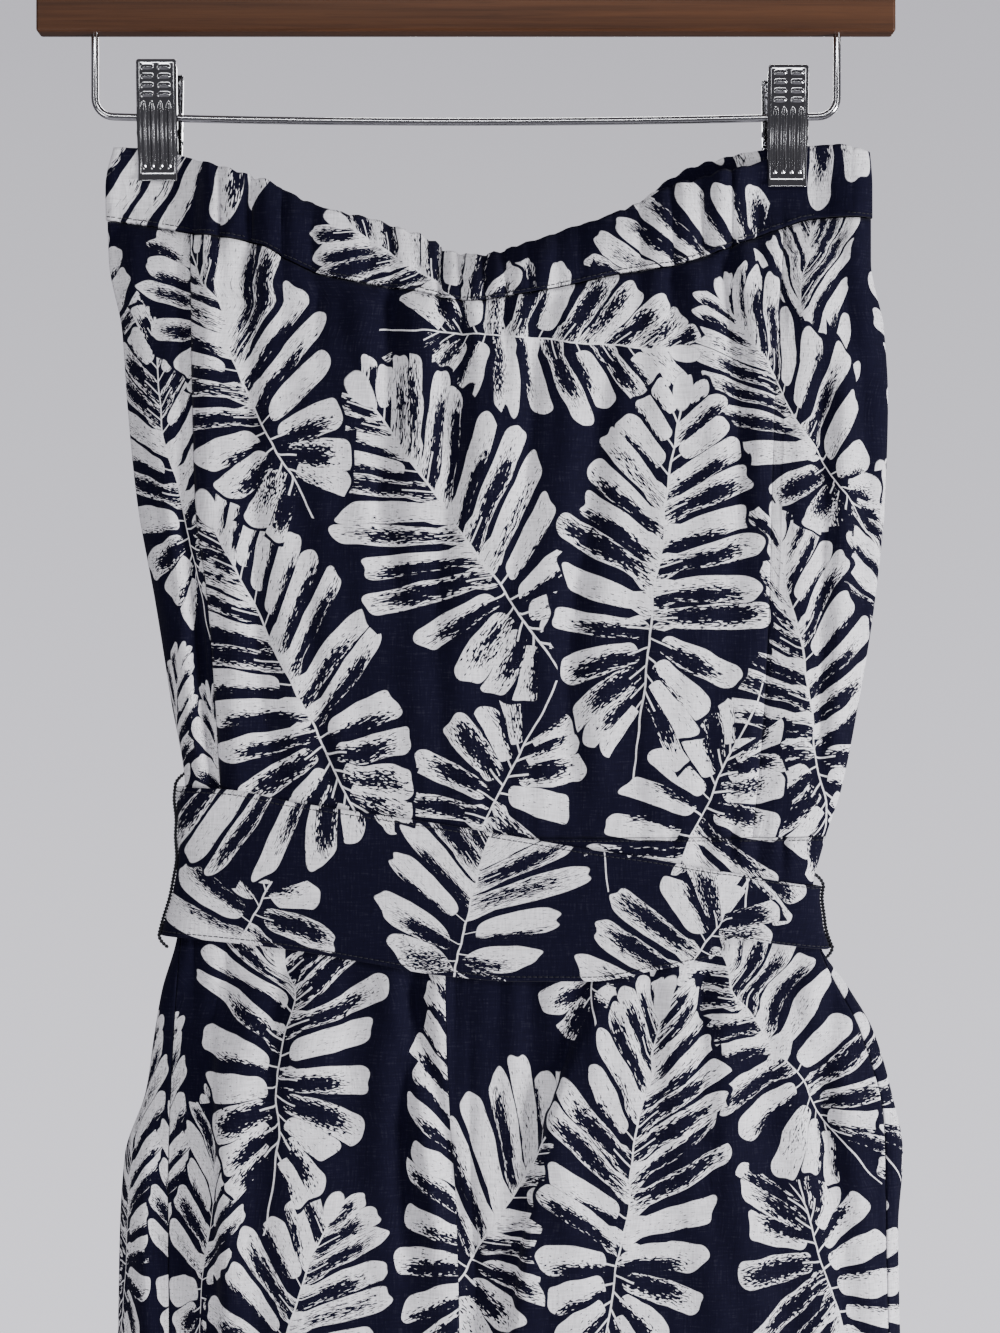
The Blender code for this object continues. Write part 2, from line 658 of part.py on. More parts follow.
def jaw_outline(profile, wall):
    """A closed outline round an open profile in (y, z), with half the wall on each side."""
    profile = np.array(profile, float)
    way = np.gradient(profile, axis=0)
    way /= np.linalg.norm(way, axis=1, keepdims=True)
    out = np.stack([way[:, 1], -way[:, 0]], axis=1) * wall / 2
    outline = np.vstack([profile + out, (profile - out)[::-1]])
    area = np.sum(outline[:, 0] * np.roll(outline[:, 1], -1) - np.roll(outline[:, 0], -1) * outline[:, 1])
    return [tuple(p) for p in (outline if area > 0 else outline[::-1])]


def jaw_profile(way, head, rod_z, foot):
    """The bent plate of a jaw in (y, z), from its head to its foot; way is -1 for the front jaw."""
    return [
        (way * 12.0, head), (way * 10.6, between(head, rod_z, 0.5)), (way * 8.6, rod_z),
        (way * 5.6, between(rod_z, foot, 0.45)), (way * 4.15, foot + 8.0), (way * 4.05, foot + 3.2),
        (way * 5.6, foot),
    ]


def ear_outline(way, head, rod_z, foot):
    """The flange that carries the rod, in (y, z), anticlockwise seen from +x."""
    ear = [
        (way * 11.0, head - 8.0), (way * 3.0, rod_z + 9.0), (-way * 3.4, rod_z + 2.2),
        (-way * 3.4, rod_z - 2.2), (way * 2.6, rod_z - 8.0), (way * 5.4, between(rod_z, foot, 0.5)),
        (way * 8.2, rod_z),
    ]
    area = sum(p[0] * q[1] - q[0] * p[1] for p, q in zip(ear, ear[1:] + ear[:1]))
    return ear if area > 0 else ear[::-1]


def add_jaw(name, face, middle, head, rod_z, foot, shift, chrome):
    """One stamped jaw with its two flanges, its ribs in front, and the hole for the rod."""
    way = -1 if face == "front" else 1
    profile = jaw_profile(way, head, rod_z, foot)
    low, high = middle + shift - JAW_REACH[face], middle + shift + JAW_REACH[face]
    jaw = add_mesh(name, *prism(jaw_outline(profile, JAW_WALL), low, high), chrome, smooth=False)
    ear = ear_outline(way, head, rod_z, foot)
    for end in (-1, 1):
        edges = sorted((middle + end * EAR_REACH[face], middle + end * (EAR_REACH[face] - JAW_WALL)))
        join(jaw, add_mesh("flange", *prism(ear, *edges), chrome), "UNION")
    if face == "front":
        shape = jaw_outline([(y - RIB_RISE, z) for y, z in profile[2:5]], JAW_WALL)
        for place in RIB_PLACES:
            edges = middle + place - RIB_HALF, middle + place + RIB_HALF
            join(jaw, add_mesh("bead", *prism(shape, *edges), chrome), "UNION")
    through = [(middle + d, 0, rod_z) for d in (-14, 0, 14)]
    join(jaw, add_mesh("drill", *sweep(through, ROD_HOLE_RADIUS, 16), chrome), "DIFFERENCE")


def add_clip(label, middle, top, foot, inward, chrome):
    """Two stamped jaws hinged on the rod."""
    rod_z = rod_height(middle)
    add_jaw(f"clip_{label}_front", "front", middle, top, rod_z, foot, 0.0, chrome)
    shift = inward * BACK_JAW_SHIFT
    add_jaw(f"clip_{label}_back", "back", middle, top - BACK_JAW_DROP, rod_z, foot, shift, chrome)


def add_spring(label, middle, steel):
    """A coil spring round the rod, its two arms reaching towards the jaws."""
    rod_z = rod_height(middle)
    coil = []
    for t in np.linspace(0, 1, SPRING_TURNS * 10 + 1):
        turn = 2 * math.pi * SPRING_TURNS * t
        y, z = SPRING_RADIUS * math.sin(turn), rod_z + SPRING_RADIUS * math.cos(turn)
        coil.append((middle - 4.4 + 8.8 * t, y, z))
    first = [(middle - 4.6, -6.2, rod_z + 11.0), (middle - 4.6, -3.6, rod_z + 5.6)]
    last = [(middle + 4.6, 3.6, rod_z + 5.6), (middle + 4.6, 6.2, rod_z + 11.0)]
    add_mesh(f"clip_{label}_spring", *sweep(first + coil + last, SPRING_WIRE, 6), steel)


def main():
    """Clear the file and build every piece."""
    for old in list(bpy.data.objects):
        bpy.data.objects.remove(old, do_unlink=True)
    print_cloth = finish("navy_leaf_linen", (0.012, 0.016, 0.045), 0.85)
    thread = finish("black_thread", (0.01, 0.01, 0.014), 0.8)
    wood = finish("stained_wood", (0.16, 0.07, 0.035), 0.45)
    chrome = finish("chrome", (0.62, 0.62, 0.64), 0.16, 1.0)
    steel = finish("bright_steel", (0.5, 0.5, 0.52), 0.22, 1.0)
    add_bands(print_cloth)
    add_bodice(print_cloth)
    add_waist(print_cloth)
    add_shorts(print_cloth)
    add_belt(print_cloth)
    add_belt_loops(thread)
    add_bar(wood)
    add_hook(steel)
    add_rod(steel)
    for label, middle, top, foot, inward in CLIPS:
        add_clip(label, middle, top, foot, inward, chrome)
        add_spring(label, middle, steel)


main()
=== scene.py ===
"""Looks of a strapless romper in leaf-printed linen, hung by two clips from a wooden hanger."""

import logging
import math
from dataclasses import dataclass, field
from enum import Enum
from functools import partial
from typing import Callable, ClassVar

import bmesh
import bpy
import numpy as np
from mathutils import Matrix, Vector


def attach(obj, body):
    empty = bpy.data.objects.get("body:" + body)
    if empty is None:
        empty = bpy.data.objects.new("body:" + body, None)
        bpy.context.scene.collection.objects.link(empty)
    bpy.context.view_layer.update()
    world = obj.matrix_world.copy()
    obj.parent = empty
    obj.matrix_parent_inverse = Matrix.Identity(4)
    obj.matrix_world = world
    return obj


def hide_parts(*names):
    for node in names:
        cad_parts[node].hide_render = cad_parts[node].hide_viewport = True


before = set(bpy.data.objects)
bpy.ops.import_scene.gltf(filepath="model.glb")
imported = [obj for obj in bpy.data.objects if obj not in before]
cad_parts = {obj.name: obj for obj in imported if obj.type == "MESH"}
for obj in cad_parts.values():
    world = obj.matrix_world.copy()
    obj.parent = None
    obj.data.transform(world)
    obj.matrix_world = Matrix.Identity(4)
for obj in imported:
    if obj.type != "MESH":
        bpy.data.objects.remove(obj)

LOG = logging.getLogger("romper")
MM = 0.001
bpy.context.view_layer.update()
Array = np.ndarray
Piece = bpy.types.Object
Material = bpy.types.Material
Tree = bpy.types.NodeTree
Pair = tuple[float, float]
Surface = Callable[[Array, Array], Array]  # something read at places across and down a cloth

# ---------------- sizes, in millimetres

SHELL = 0.9  # thickness of one layer of linen as it shows
CASING_SHELL = 2.4  # elastic between two layers
HEM_SHELL = 1.8
GRID = 2.3  # spacing of the points of a cloth mesh
SEAM_GAP = 0.9  # between the bodice and the band above it
GAP = 0.3  # between other neighbours
SEAM_HALF = 0.04  # from the middle of the centre seam to the cloth on each side
WAIST_TOP, WAIST_BOTTOM, LEG_TOP = -509.0, -547.0, -547.2
CROTCH_Z, HEM_Z, HEM_DEPTH = -812.0, -915.0, 24.0
PLEAT = 4.1  # a gathered pleat is pi times as wide
PUCKER = 1.35  # a pucker is two pi times as wide
WAVE = 10.2  # a soft upright fold is pi times as wide
PRESSED = 0.62  # share of the gathers that the belt presses flat
MIDDLE_X = 17.0  # middle of the garment, to the right of the hanger's middle
ROD_RADIUS = 1.85


class Face(Enum):
    """Which sheet of the garment a fold lies on."""

    FRONT = True
    BACK = False


class Side(Enum):
    """A side of the garment as it hangs, seen from the front."""

    LEFT = -1
    RIGHT = 1

    @property
    def label(self) -> str:
        """The word used in the names of pieces."""
        return self.name.lower()


# z, left edge, right edge, depth of the front sheet, depth of the back sheet
SECTIONS = np.array([
    (-160, -173.5, 200, 9, 9), (-185, -179, 202, 13, 12), (-222, -178, 202, 19, 16), (-256, -171.5, 208.5, 22, 19),
    (-291, -169, 210.5, 24, 21), (-341, -164, 209, 25, 22), (-391, -155, 204, 25, 22), (-441, -147, 196, 22, 20),
    (-486, -140, 187, 18, 18), (-512, -140, 178.5, 16.5, 16.5), (-540, -141, 172.5, 16.5, 16.5),
    (-562, -144.5, 176, 18, 17.5), (-586, -151.5, 191.5, 21, 19.5), (-606, -155, 203, 23, 21),
    (-636, -159.5, 212, 25, 23), (-668, -170, 218, 27, 25), (-705, -172.5, 215.5, 28, 26),
    (-757, -173.5, 216.5, 28, 26), (-812, -175, 218, 28, 26), (-915, -178, 222, 27, 25),
])

# x, top edge of the front band, top edge of the back band, seam under the band
NECKLINE = np.array([
    (-180, -165, -165, -201.5), (-156, -166, -166, -205.5), (-138, -170.5, -171.5, -209),
    (-118, -177.5, -179, -212), (-102, -182.5, -184.5, -215.5), (-87, -190, -192, -224),
    (-71, -197.5, -199.5, -231), (-48, -202.5, -205, -235.5), (-23, -210.5, -213, -239.5),
    (-5, -219.5, -221.5, -243.5), (4, -221, -222.5, -244), (22, -217.5, -219, -241.5), (47, -209, -210, -237),
    (77, -199, -198.5, -230.5), (104, -186, -178, -226), (122, -180.5, -170.5, -220), (141, -174.5, -167, -212.5),
    (158, -168, -165, -206), (172, -164.5, -164.5, -201.5), (186, -164, -164, -200.5),
    (202, -168.5, -168.5, -200.5),
])

# z, left seam and right seam between the bodice front and its side panels
BODICE_SEAMS = np.array([
    (-200, -137, 159), (-292, -135, 152.5), (-352, -133, 150.5), (-382, -128.5, 150), (-441, -124, 148),
    (-512, -120.5, 142),
])

# z, centre seam, left side seam, right side seam of the shorts
SHORTS_SEAMS = np.array([
    (-545, -10, -140, 170), (-570, -10, -142.5, 178), (-606, -9.5, -145, 196), (-647, -7.5, -146.5, 207),
    (-691, -4.5, -147, 208.5), (-757, -3, -146.5, 209.5), (-812, -3, -147, 211), (-915, -3, -149, 214),
])

# x, top edge, bottom edge of the belt
BELT_EDGES = np.array([
    (-152, -484, -557.5), (-119, -485, -560.5), (-86, -491, -564), (-52, -496, -569.5), (-12, -502, -576),
    (27, -508.5, -579), (61, -514.5, -579), (91, -519, -574), (125, -525.5, -566), (129, -526, -558.5),
    (156, -531, -562), (184, -535.5, -566),
])


@dataclass(frozen=True)
class Fold:
    """An edge where the cloth on the right of a line laps over the cloth on its left."""

    face: Face
    lift: float
    softness: float
    overhang: float
    line: tuple[Pair, ...]  # z and x along the edge

    def table(self) -> Array:
        """The line as a table for along()."""
        return np.array(self.line)


@dataclass(frozen=True)
class Crease:
    """A soft ridge, or a trough where the rise is below nought, between two places."""

    face: Face
    rise: float
    width: float
    start: Pair  # x and z
    end: Pair


RIGHT_LEG_FOLD = Fold(
    Face.FRONT, 9.0, 1.6, 3.0, ((-562, 63), (-608, 55), (-656, 40), (-711, 30.5), (-812, 16), (-915, 10))
)
LEFT_LEG_FOLD = Fold(Face.FRONT, 8.0, 1.8, 2.0, ((-562, -124), (-662, -120.5), (-752, -118.5), (-915, -116)))
BACK_LEG_FOLD = Fold(Face.BACK, 6.0, 3.0, 0.0, ((-562, 70), (-680, 78), (-915, 84)))
FOLDS = (RIGHT_LEG_FOLD, LEFT_LEG_FOLD, BACK_LEG_FOLD)

# rise, width, start, end
FRONT_CREASES = (
    (-3.5, 3.2, (-140, -205), (-139, -345)), (3.5, 7.0, (-129, -205), (-127, -350)),
    (-4.5, 3.6, (-139, -335), (-124, -495)), (3.5, 6.0, (-151, -330), (-131, -480)),
    (-3.5, 3.4, (-162, -300), (-143, -400)), (3.0, 7.0, (-118, -350), (-112, -490)),
    (3.0, 6.0, (146, -225), (143, -340)), (-3.5, 3.4, (159, -215), (154, -400)),
    (3.0, 6.0, (168, -225), (163, -400)), (-3.0, 4.0, (151, -400), (146, -500)),
    (-3.5, 4.0, (179, -260), (176, -470)), (3.0, 6.0, (190, -250), (184, -470)),
    (-2.5, 6.0, (-60, -250), (-30, -400)), (-3.0, 5.0, (-14, -248), (-6, -330)),
    (-3.0, 5.0, (34, -246), (28, -340)), (2.5, 6.0, (10, -248), (10, -340)), (-2.5, 7.0, (78, -240), (50, -400)),
    (-4.5, 7.0, (158, -572), (187, -690)), (3.0, 16.0, (120, -575), (132, -800)),
    (3.0, 15.0, (-72, -575), (-76, -800)), (3.5, 5.0, (-36, -572), (-14, -700)),
    (-4.0, 4.0, (-26, -572), (-4, -690)), (3.5, 7.0, (-157, -640), (-160, -757)),
    (3.0, 5.0, (213, -640), (214, -757)),
)
BACK_CREASES = (
    (3.0, 12.0, (-90, -235), (-70, -420)), (3.0, 12.0, (110, -235), (90, -420)),
    (-2.5, 12.0, (5, -250), (10, -440)), (3.5, 16.0, (-80, -575), (-86, -800)),
    (3.0, 15.0, (130, -575), (140, -800)), (-3.0, 9.0, (20, -572), (24, -780)),
)
CREASES = [Crease(Face.FRONT, *row) for row in FRONT_CREASES] + [Crease(Face.BACK, *row) for row in BACK_CREASES]

# x of each clip's middle, foot of its plates
CLIP_PLACES = {Side.LEFT: (-153.8, -182.0), Side.RIGHT: (160.3, -185.5)}


# ---------------- curves and tables


def smooth_step(low: float, high: float, value: Array) -> Array:
    """Rise smoothly from 0 at low to 1 at high, of which either may be the larger."""
    t = np.clip((np.asarray(value, float) - low) / (high - low), 0.0, 1.0)
    return t * t * (3.0 - 2.0 * t)


def along(table: Array, column: int, place: Array) -> Array:
    """Read one column of a table as a smooth curve over its first column, without overshoot.

    Args:
        table: Rows of numbers; the first column is the place.
        column: Which column to read.
        place: Places to read it at.

    Returns:
        The column's value at each place.
    """
    rows = table[np.argsort(table[:, 0])]
    x, y = rows[:, 0], rows[:, column]
    step = np.diff(x)
    slope = np.diff(y) / step
    tangent = np.zeros(len(x))
    same_way = slope[:-1] * slope[1:] > 0
    mean = 2 * slope[:-1] * slope[1:] / np.where(same_way, slope[:-1] + slope[1:], 1.0)
    tangent[1:-1] = np.where(same_way, mean, 0.0)
    tangent[0], tangent[-1] = slope[0], slope[-1]
    place = np.clip(place, x[0], x[-1])
    k = np.clip(np.searchsorted(x, place) - 1, 0, len(x) - 2)
    t = (place - x[k]) / step[k]
    rise = step[k] * tangent[k] * t * (1 - t) ** 2 - step[k] * tangent[k + 1] * t * t * (1 - t)
    return y[k] * (1 + 2 * t) * (1 - t) ** 2 + y[k + 1] * t * t * (3 - 2 * t) + rise


def between(first: Array, last: Array, share: Array) -> Array:
    """The value a share of the way from first to last."""
    return first + (last - first) * share


def unit(ways: Array) -> Array:
    """The same ways, each one long."""
    return ways / np.maximum(np.linalg.norm(ways, axis=-1, keepdims=True), 1e-9)


def squared(ways: Array, headings: Array) -> Array:
    """Each way turned square to its heading, and one long."""
    return unit(ways - headings * (ways * headings).sum(-1, keepdims=True))


def run_along(points: Array) -> Array:
    """Length from the first point of a line, or of each column of points, to every one."""
    steps = np.linalg.norm(np.diff(points, axis=0), axis=-1)
    return np.concatenate([0.0 * steps[:1], np.cumsum(steps, axis=0)])


def normals_of(surface: Surface, u: Array, v: Array, step: float) -> Array:
    """Ways square to a surface.

    Args:
        surface: The surface.
        u: Places across it.
        v: Places down it.
        step: How far to each side its slope is read.

    Returns:
        A way for each place, one long.
    """
    across = surface(u + step, v) - surface(u - step, v)
    down = surface(u, v + step) - surface(u, v - step)
    return unit(np.cross(across, down))


def outwardness(points: Array, ways: Array) -> Array:
    """Above nought where a way leads out of the garment."""
    return ways[..., 0] * (points[..., 0] - MIDDLE_X) + 4 * ways[..., 1] * points[..., 1]


def unevenness(x: Array, z: Array, size: float, seed: Array | float) -> Array:
    """Slow bumps that repeat nowhere on the garment, for cloth that never lies quite flat.

    Args:
        x: Places across.
        z: Places down.
        size: Length of a bump.
        seed: Any number; another one gives other bumps.

    Returns:
        Heights between about -1 and 1.
    """
    total = 0.0
    for k in range(5):
        turn = seed + 2.4 * k
        way = (x * np.cos(turn) + z * np.sin(turn)) * (1 + 0.27 * k) / size
        total = total + np.sin(way * 2 * math.pi / 2.2 + 3.1 * turn) / (1 + 0.3 * k)
    return total / 2.6


# ---------------- form of the garment


def gathers(x: Array, front: Array) -> Array:
    """Uneven small pleats that elastic makes.

    Args:
        x: Places across.
        front: True on the front sheet.

    Returns:
        Heights between about -1.5 and 1.3.
    """
    phase = np.where(front, 0.4, 2.1)
    ridge = 2 * np.abs(np.sin(x / PLEAT + phase + 1.3 * np.sin(x / 31.0))) ** 0.8 - 1.1
    much = 0.55 + 0.45 * np.sin(x / 19.0 + 3 * phase)
    return ridge * much + 0.4 * np.sin(x / 5.1 + 2.0 * phase)


def puckers(x: Array, front: Array) -> Array:
    """Finer pleats riding on the gathers, close to a row of stitches."""
    phase = np.where(front, 1.9, 0.3)
    return np.sin(x / PUCKER + phase + 1.7 * np.sin(x / 13.0)) * (0.6 + 0.4 * np.sin(x / 23.0 + phase))


def drape(x: Array, z: Array, front: Array) -> Array:
    """Soft upright folds that the gathers send down and up the cloth: round tops, narrow valleys.

    Args:
        x: Places across.
        z: Places down.
        front: True on the front sheet.

    Returns:
        Heights between about -1.5 and 1.2.
    """
    phase = np.where(front, 0.3, 1.9)
    bent = x + 9.0 * np.sin(z / 83.0 + x / 71.0 + phase) + 3.0 * np.sin(z / 37.0 + 2 * phase)
    much = 0.6 + 0.4 * np.sin(x / 27.0 + z / 61.0 + 2.2 * phase)
    broad = (2 * np.abs(np.sin(bent / WAVE + phase)) ** 0.85 - 1.1) * much
    return broad + 0.34 * np.sin(bent / 3.55 + 1.4 * np.sin(z / 57.0) + 2 * phase)


def fold_lift(x: Array, z: Array, front: Array) -> Array:
    """How far folds and creases lift the cloth outwards.

    Args:
        x: Places across.
        z: Places down.
        front: True on the front sheet.

    Returns:
        Lift in millimetres.
    """
    lift = np.zeros(np.broadcast(x, z).shape)
    for fold in FOLDS:
        past = x - along(fold.table(), 1, z)
        top = fold.line[0][0]
        rise = fold.lift / (1 + np.exp(-np.clip(past / fold.softness, -30, 30)))
        rise = rise * np.exp(-np.maximum(past, 0) / 55.0) * smooth_step(top - 14, top - 55, z)
        lift = lift + np.where(front == fold.face.value, rise, 0.0)
    for crease in CREASES:
        (x0, z0), (x1, z1) = crease.start, crease.end
        t = np.clip((z - z0) / (z1 - z0), 0, 1)
        across = (x - (x0 + (x1 - x0) * t)) / crease.width
        ends = smooth_step(z0 - 2, z0 - 30, z) * smooth_step(z1 - 30, z1 + 20, z)
        rise = crease.rise * np.exp(-across * across) * ends
        lift = lift + np.where(front == crease.face.value, rise, 0.0)
    return lift


def fold_overhang(x: Array, z: Array, front: Array) -> Array:
    """How far a lapping fold leans to the left over the cloth beneath it.

    Args:
        x: Places across.
        z: Places down.
        front: True on the front sheet.

    Returns:
        Lean in millimetres.
    """
    lean = np.zeros(np.broadcast(x, z).shape)
    for fold in FOLDS:
        past = x - along(fold.table(), 1, z) - 1.5 * fold.softness
        top = fold.line[0][0]
        shift = fold.overhang * np.exp(-((past / 5.0) ** 2)) * smooth_step(top - 20, top - 70, z)
        lean = lean + np.where(front == fold.face.value, shift, 0.0)
    return lean


def clip_pinch(x: Array, z: Array) -> Array:
    """Where a clip's jaws press the two bands together.

    Args:
        x: Places across.
        z: Places down.

    Returns:
        1 between the jaws, falling to 0 round about.
    """
    pinch = np.zeros(np.broadcast(x, z).shape)
    for middle, foot in CLIP_PLACES.values():
        away = np.maximum(np.abs(x - middle) - 12.5, 0) / 13.0
        pinch = np.maximum(pinch, np.exp(-away * away) * smooth_step(foot - 42, foot - 4, z))
    return pinch


def under_belt(x: Array, z: Array) -> Array:
    """1 where the belt presses the cloth flat, and 0 away from it."""
    top, bottom = along(BELT_EDGES, 1, x), along(BELT_EDGES, 2, x)
    return smooth_step(top + 9, top - 3, z) * smooth_step(bottom - 9, bottom + 3, z)


def bodice_relief(x: Array, z: Array, front: Array) -> Array:
    """How far gathers, waves and crumples push the bodice and the waist outwards.

    Args:
        x: Places across.
        z: Places down.
        front: True on the front sheet.

    Returns:
        Rise in millimetres.
    """
    seam = along(NECKLINE, 3, x)
    below = np.maximum(seam - z, 0)
    waist = np.exp(-np.abs(z + 514) / 22.0)
    gathered = gathers(x, front) * (2.0 * np.exp(-below / 40.0) + 1.8 * waist)
    puckered = puckers(x, front) * (0.8 * np.exp(-np.abs(seam - z) / 7.0) + 0.7 * np.exp(-np.abs(z + 511) / 7.0))
    waved = 2.5 * drape(x, z, front) * (0.6 + np.exp(-below / 70.0)) * smooth_step(seam + 4, seam - 12, z)
    slow = 1.4 * unevenness(x, z, 46.0, np.where(front, 0.7, 2.9)) + 0.55 * unevenness(x, z, 15.0, 5.1)
    free = 1 - PRESSED * under_belt(x, z)
    return (gathered + puckered + slow) * free + waved * (1 - smooth_step(-470, -505, z))


def leg_relief(x: Array, z: Array, front: Array) -> Array:
    """How far gathers, waves and crumples push a leg's cloth outwards.

    Args:
        x: Places across.
        z: Places down.
        front: True on the front sheet.

    Returns:
        Rise in millimetres.
    """
    below = np.maximum(-556 - z, 0)
    gathered = gathers(x * 0.93 + 4, front) * 1.9 * np.exp(-below / 26.0)
    waved = 2.6 * drape(x, z, front) * (0.7 + 0.9 * np.exp(-below / 70.0)) * smooth_step(-560, -590, z)
    slow = 1.6 * unevenness(x, z, 60.0, np.where(front, 1.3, 4.1)) + 0.6 * unevenness(x, z, 17.0, 7.7)
    return (gathered + slow) * (1 - PRESSED * under_belt(x, z)) + waved


def body_point(angle: Array, z: Array, folded: bool = True) -> Array:
    """A point of the bodice and hips.

    Args:
        angle: 0 is the right edge and pi the left; the front lies between.
        z: Height.
        folded: False leaves the folds and gathers out.

    Returns:
        Points in millimetres.
    """
    left, right = along(SECTIONS, 1, z), along(SECTIONS, 2, z)
    front = np.sin(angle) >= 0
    depth = np.where(front, along(SECTIONS, 3, z), along(SECTIONS, 4, z))
    x = (left + right) / 2 + (right - left) / 2 * np.cos(angle)
    fullness = np.abs(np.sin(angle)) ** 0.8
    out = depth * fullness
    if folded:
        room = smooth_step(0, 0.45, fullness)
        out = out + fold_lift(x, z, front) * room
        out = out + bodice_relief(x, z, front) * room
    pinch = clip_pinch(x, z)
    out = out * (1 - pinch) + (1.65 + 0.2 * gathers(x, front)) * pinch
    return np.stack([x, np.where(front, -out, out), z + 0.0 * x], axis=-1)


def band_point(angle: Array, v: Array) -> Array:
    """A point of the casing band.

    Args:
        angle: 0 is the right edge and pi the left; the front lies between.
        v: 0 at the top edge and 1 at the seam under it.

    Returns:
        Points in millimetres.
    """
    front = np.sin(angle) >= 0
    z = -200.0 + 0.0 * angle
    for _ in range(4):
        x = body_point(angle, z)[..., 0]
        top = np.where(front, along(NECKLINE, 1, x), along(NECKLINE, 2, x))
        z = top + (along(NECKLINE, 3, x) + SEAM_GAP / 2 - top) * v
    point = body_point(angle, z)
    free = 1 - clip_pinch(x, z)
    dip = np.exp(-(((x - 4) / 62.0) ** 2))
    lean = np.where(front, 9.0, -1.0) * dip * np.clip(1 - v, 0, 1) ** 1.2
    puff = (1.2 + 0.9 * gathers(x, front)) * np.sin(math.pi * v) + puckers(x, front) * np.clip(1 - v, 0, 1) ** 1.5
    point[..., 1] += (lean + puff * np.where(front, -1.0, 1.0)) * free * smooth_step(0, 0.3, np.abs(np.sin(angle)))
    ruffle = 0.7 * puckers(x, front) + 0.8 * gathers(x * 1.3, front)
    point[..., 2] += ruffle * np.clip(1 - v, 0, 1) ** 3 * free - 0.35 * np.abs(puckers(x, front)) * v**6
    return point


def leg_point(side: Side, angle: Array, z: Array, folded: bool = True) -> Array:
    """A point of one leg.

    Args:
        side: Which leg.
        angle: 0 is its outer edge and pi its inner edge; the front lies between.
        z: Height.
        folded: False leaves the folds and gathers out.

    Returns:
        Points in millimetres.
    """
    left, right = along(SECTIONS, 1, z), along(SECTIONS, 2, z)
    centre = along(SHORTS_SEAMS, 1, z)
    parted = smooth_step(-752, CROTCH_Z, z)
    away = SEAM_HALF + 0.3 * smooth_step(0.8, 1, parted) + 7.0 * smooth_step(CROTCH_Z, HEM_Z, z)
    outer = left if side is Side.LEFT else right
    inner = centre + side.value * away
    whole = np.where(parted > 0.999, angle, np.clip(angle, -math.pi, math.pi))
    front = np.sin(whole) >= 0
    front = np.where(np.abs(np.abs(whole) - math.pi) < 1e-9, whole > 0, front)
    x = (outer + inner) / 2 + (outer - inner) / 2 * np.cos(whole)
    across = np.clip((x - (left + right) / 2) / ((right - left) / 2), -1, 1)
    fullness = (1 - across**2) ** 0.4 * (1 - parted) + np.abs(np.sin(whole)) ** 0.8 * parted
    depth = np.where(front, along(SECTIONS, 3, z), along(SECTIONS, 4, z))
    out = depth * fullness
    if folded:
        room = smooth_step(0, 0.45, fullness)
        out = out + fold_lift(x, z, front) * room
        out = out + leg_relief(x, z, front) * room
        x = x - fold_overhang(x, z, front) * room
    return np.stack([x, np.where(front, -out, out), z + 0.0 * x], axis=-1)


def section_angle(x: Array, front: bool, outer: Array, inner: Array) -> Array:
    """The angle on a section at a place across.

    Args:
        x: The place across.
        front: True for the front sheet, False for the back one.
        outer: Where the section's angle is 0.
        inner: Where it is pi.

    Returns:
        Angles, below nought on the back sheet.
    """
    across = (x - (outer + inner) / 2) / ((outer - inner) / 2)
    angle = np.arccos(np.clip(across, -1, 1))
    return angle if front else -angle


def bodice_angle(column: int, front: bool, shift: float, z: Array) -> Array:
    """The angle of a bodice seam, column 1 the left one and 2 the right one, moved sideways by shift."""
    x = along(BODICE_SEAMS, column, z) + shift
    return section_angle(x, front, along(SECTIONS, 2, z), along(SECTIONS, 1, z))


def leg_angle(side: Side, z: Array, x: Array, front: bool) -> Array:
    """The angle on a leg's section at a place across.

    Args:
        side: Which leg.
        z: Height.
        x: The place across.
        front: True for the front sheet, False for the back one.

    Returns:
        Angles, 0 at the outer edge.
    """
    outer = along(SECTIONS, 1 if side is Side.LEFT else 2, z)
    inner = along(SHORTS_SEAMS, 1, z) + side.value * SEAM_HALF
    return section_angle(x, front, outer, inner)


# ---------------- print

LEAFLET_GAP = 13.0  # mm up the stem from one leaflet to the next on the same side
LEAFLET_REACH = 0.32  # longest leaflet as a share of the stem in the drawing of the leaf
TAIL = 0.13  # bare stem below the base, as a share of the leafy stem


@dataclass(frozen=True)
class Frond:
    """One brushed leaf of the print, charted in millimetres on the cloth before it is sewn, across and up."""

    base: Pair  # where the lowest leaflets leave the stem
    tip: Pair
    reach: float  # length of its longest leaflets
    bend: float
    seed: float
    lean: float = 0.3  # how far its leaflets lean forward

    def local(self, cut: Array) -> Array:
        """Places on the cut cloth as places on the leaf.

        Args:
            cut: Places in millimetres, across and up.

        Returns:
            Share of the way up the stem, place across it, and one number that holds both
            the gap from leaflet to leaflet, in hundreds, and the seed.
        """
        base = np.array(self.base)
        stem = np.array(self.tip) - base
        size = np.hypot(*stem)
        way = stem / size
        up = (cut - base) @ way / size
        across = (cut - base) @ np.array([way[1], -way[0]]) * LEAFLET_REACH / self.reach
        across = across + self.bend * (up - up * up)
        up = up - self.lean * np.abs(across) * self.reach / LEAFLET_REACH / size
        every = round(1000 * LEAFLET_GAP / size)
        return np.stack([up, across, np.full(up.shape, self.seed + 100 * every)], axis=-1)

    def distance(self, cut: Array) -> Array:
        """Rough distance from the outline of the leaf or its bare stem.

        Args:
            cut: Places in millimetres, across and up.

        Returns:
            Millimetres, below nought inside.
        """
        up, across, _ = np.moveaxis(self.local(cut), -1, 0)
        leaf = (np.hypot((up - 0.5) / 0.62, across / 0.38) - 1) * self.reach
        past = np.maximum(np.maximum(-TAIL - up, up), 0)
        stem = np.hypot(past * 2.4, across) * self.reach / LEAFLET_REACH - 1.5
        return np.minimum(leaf, stem)


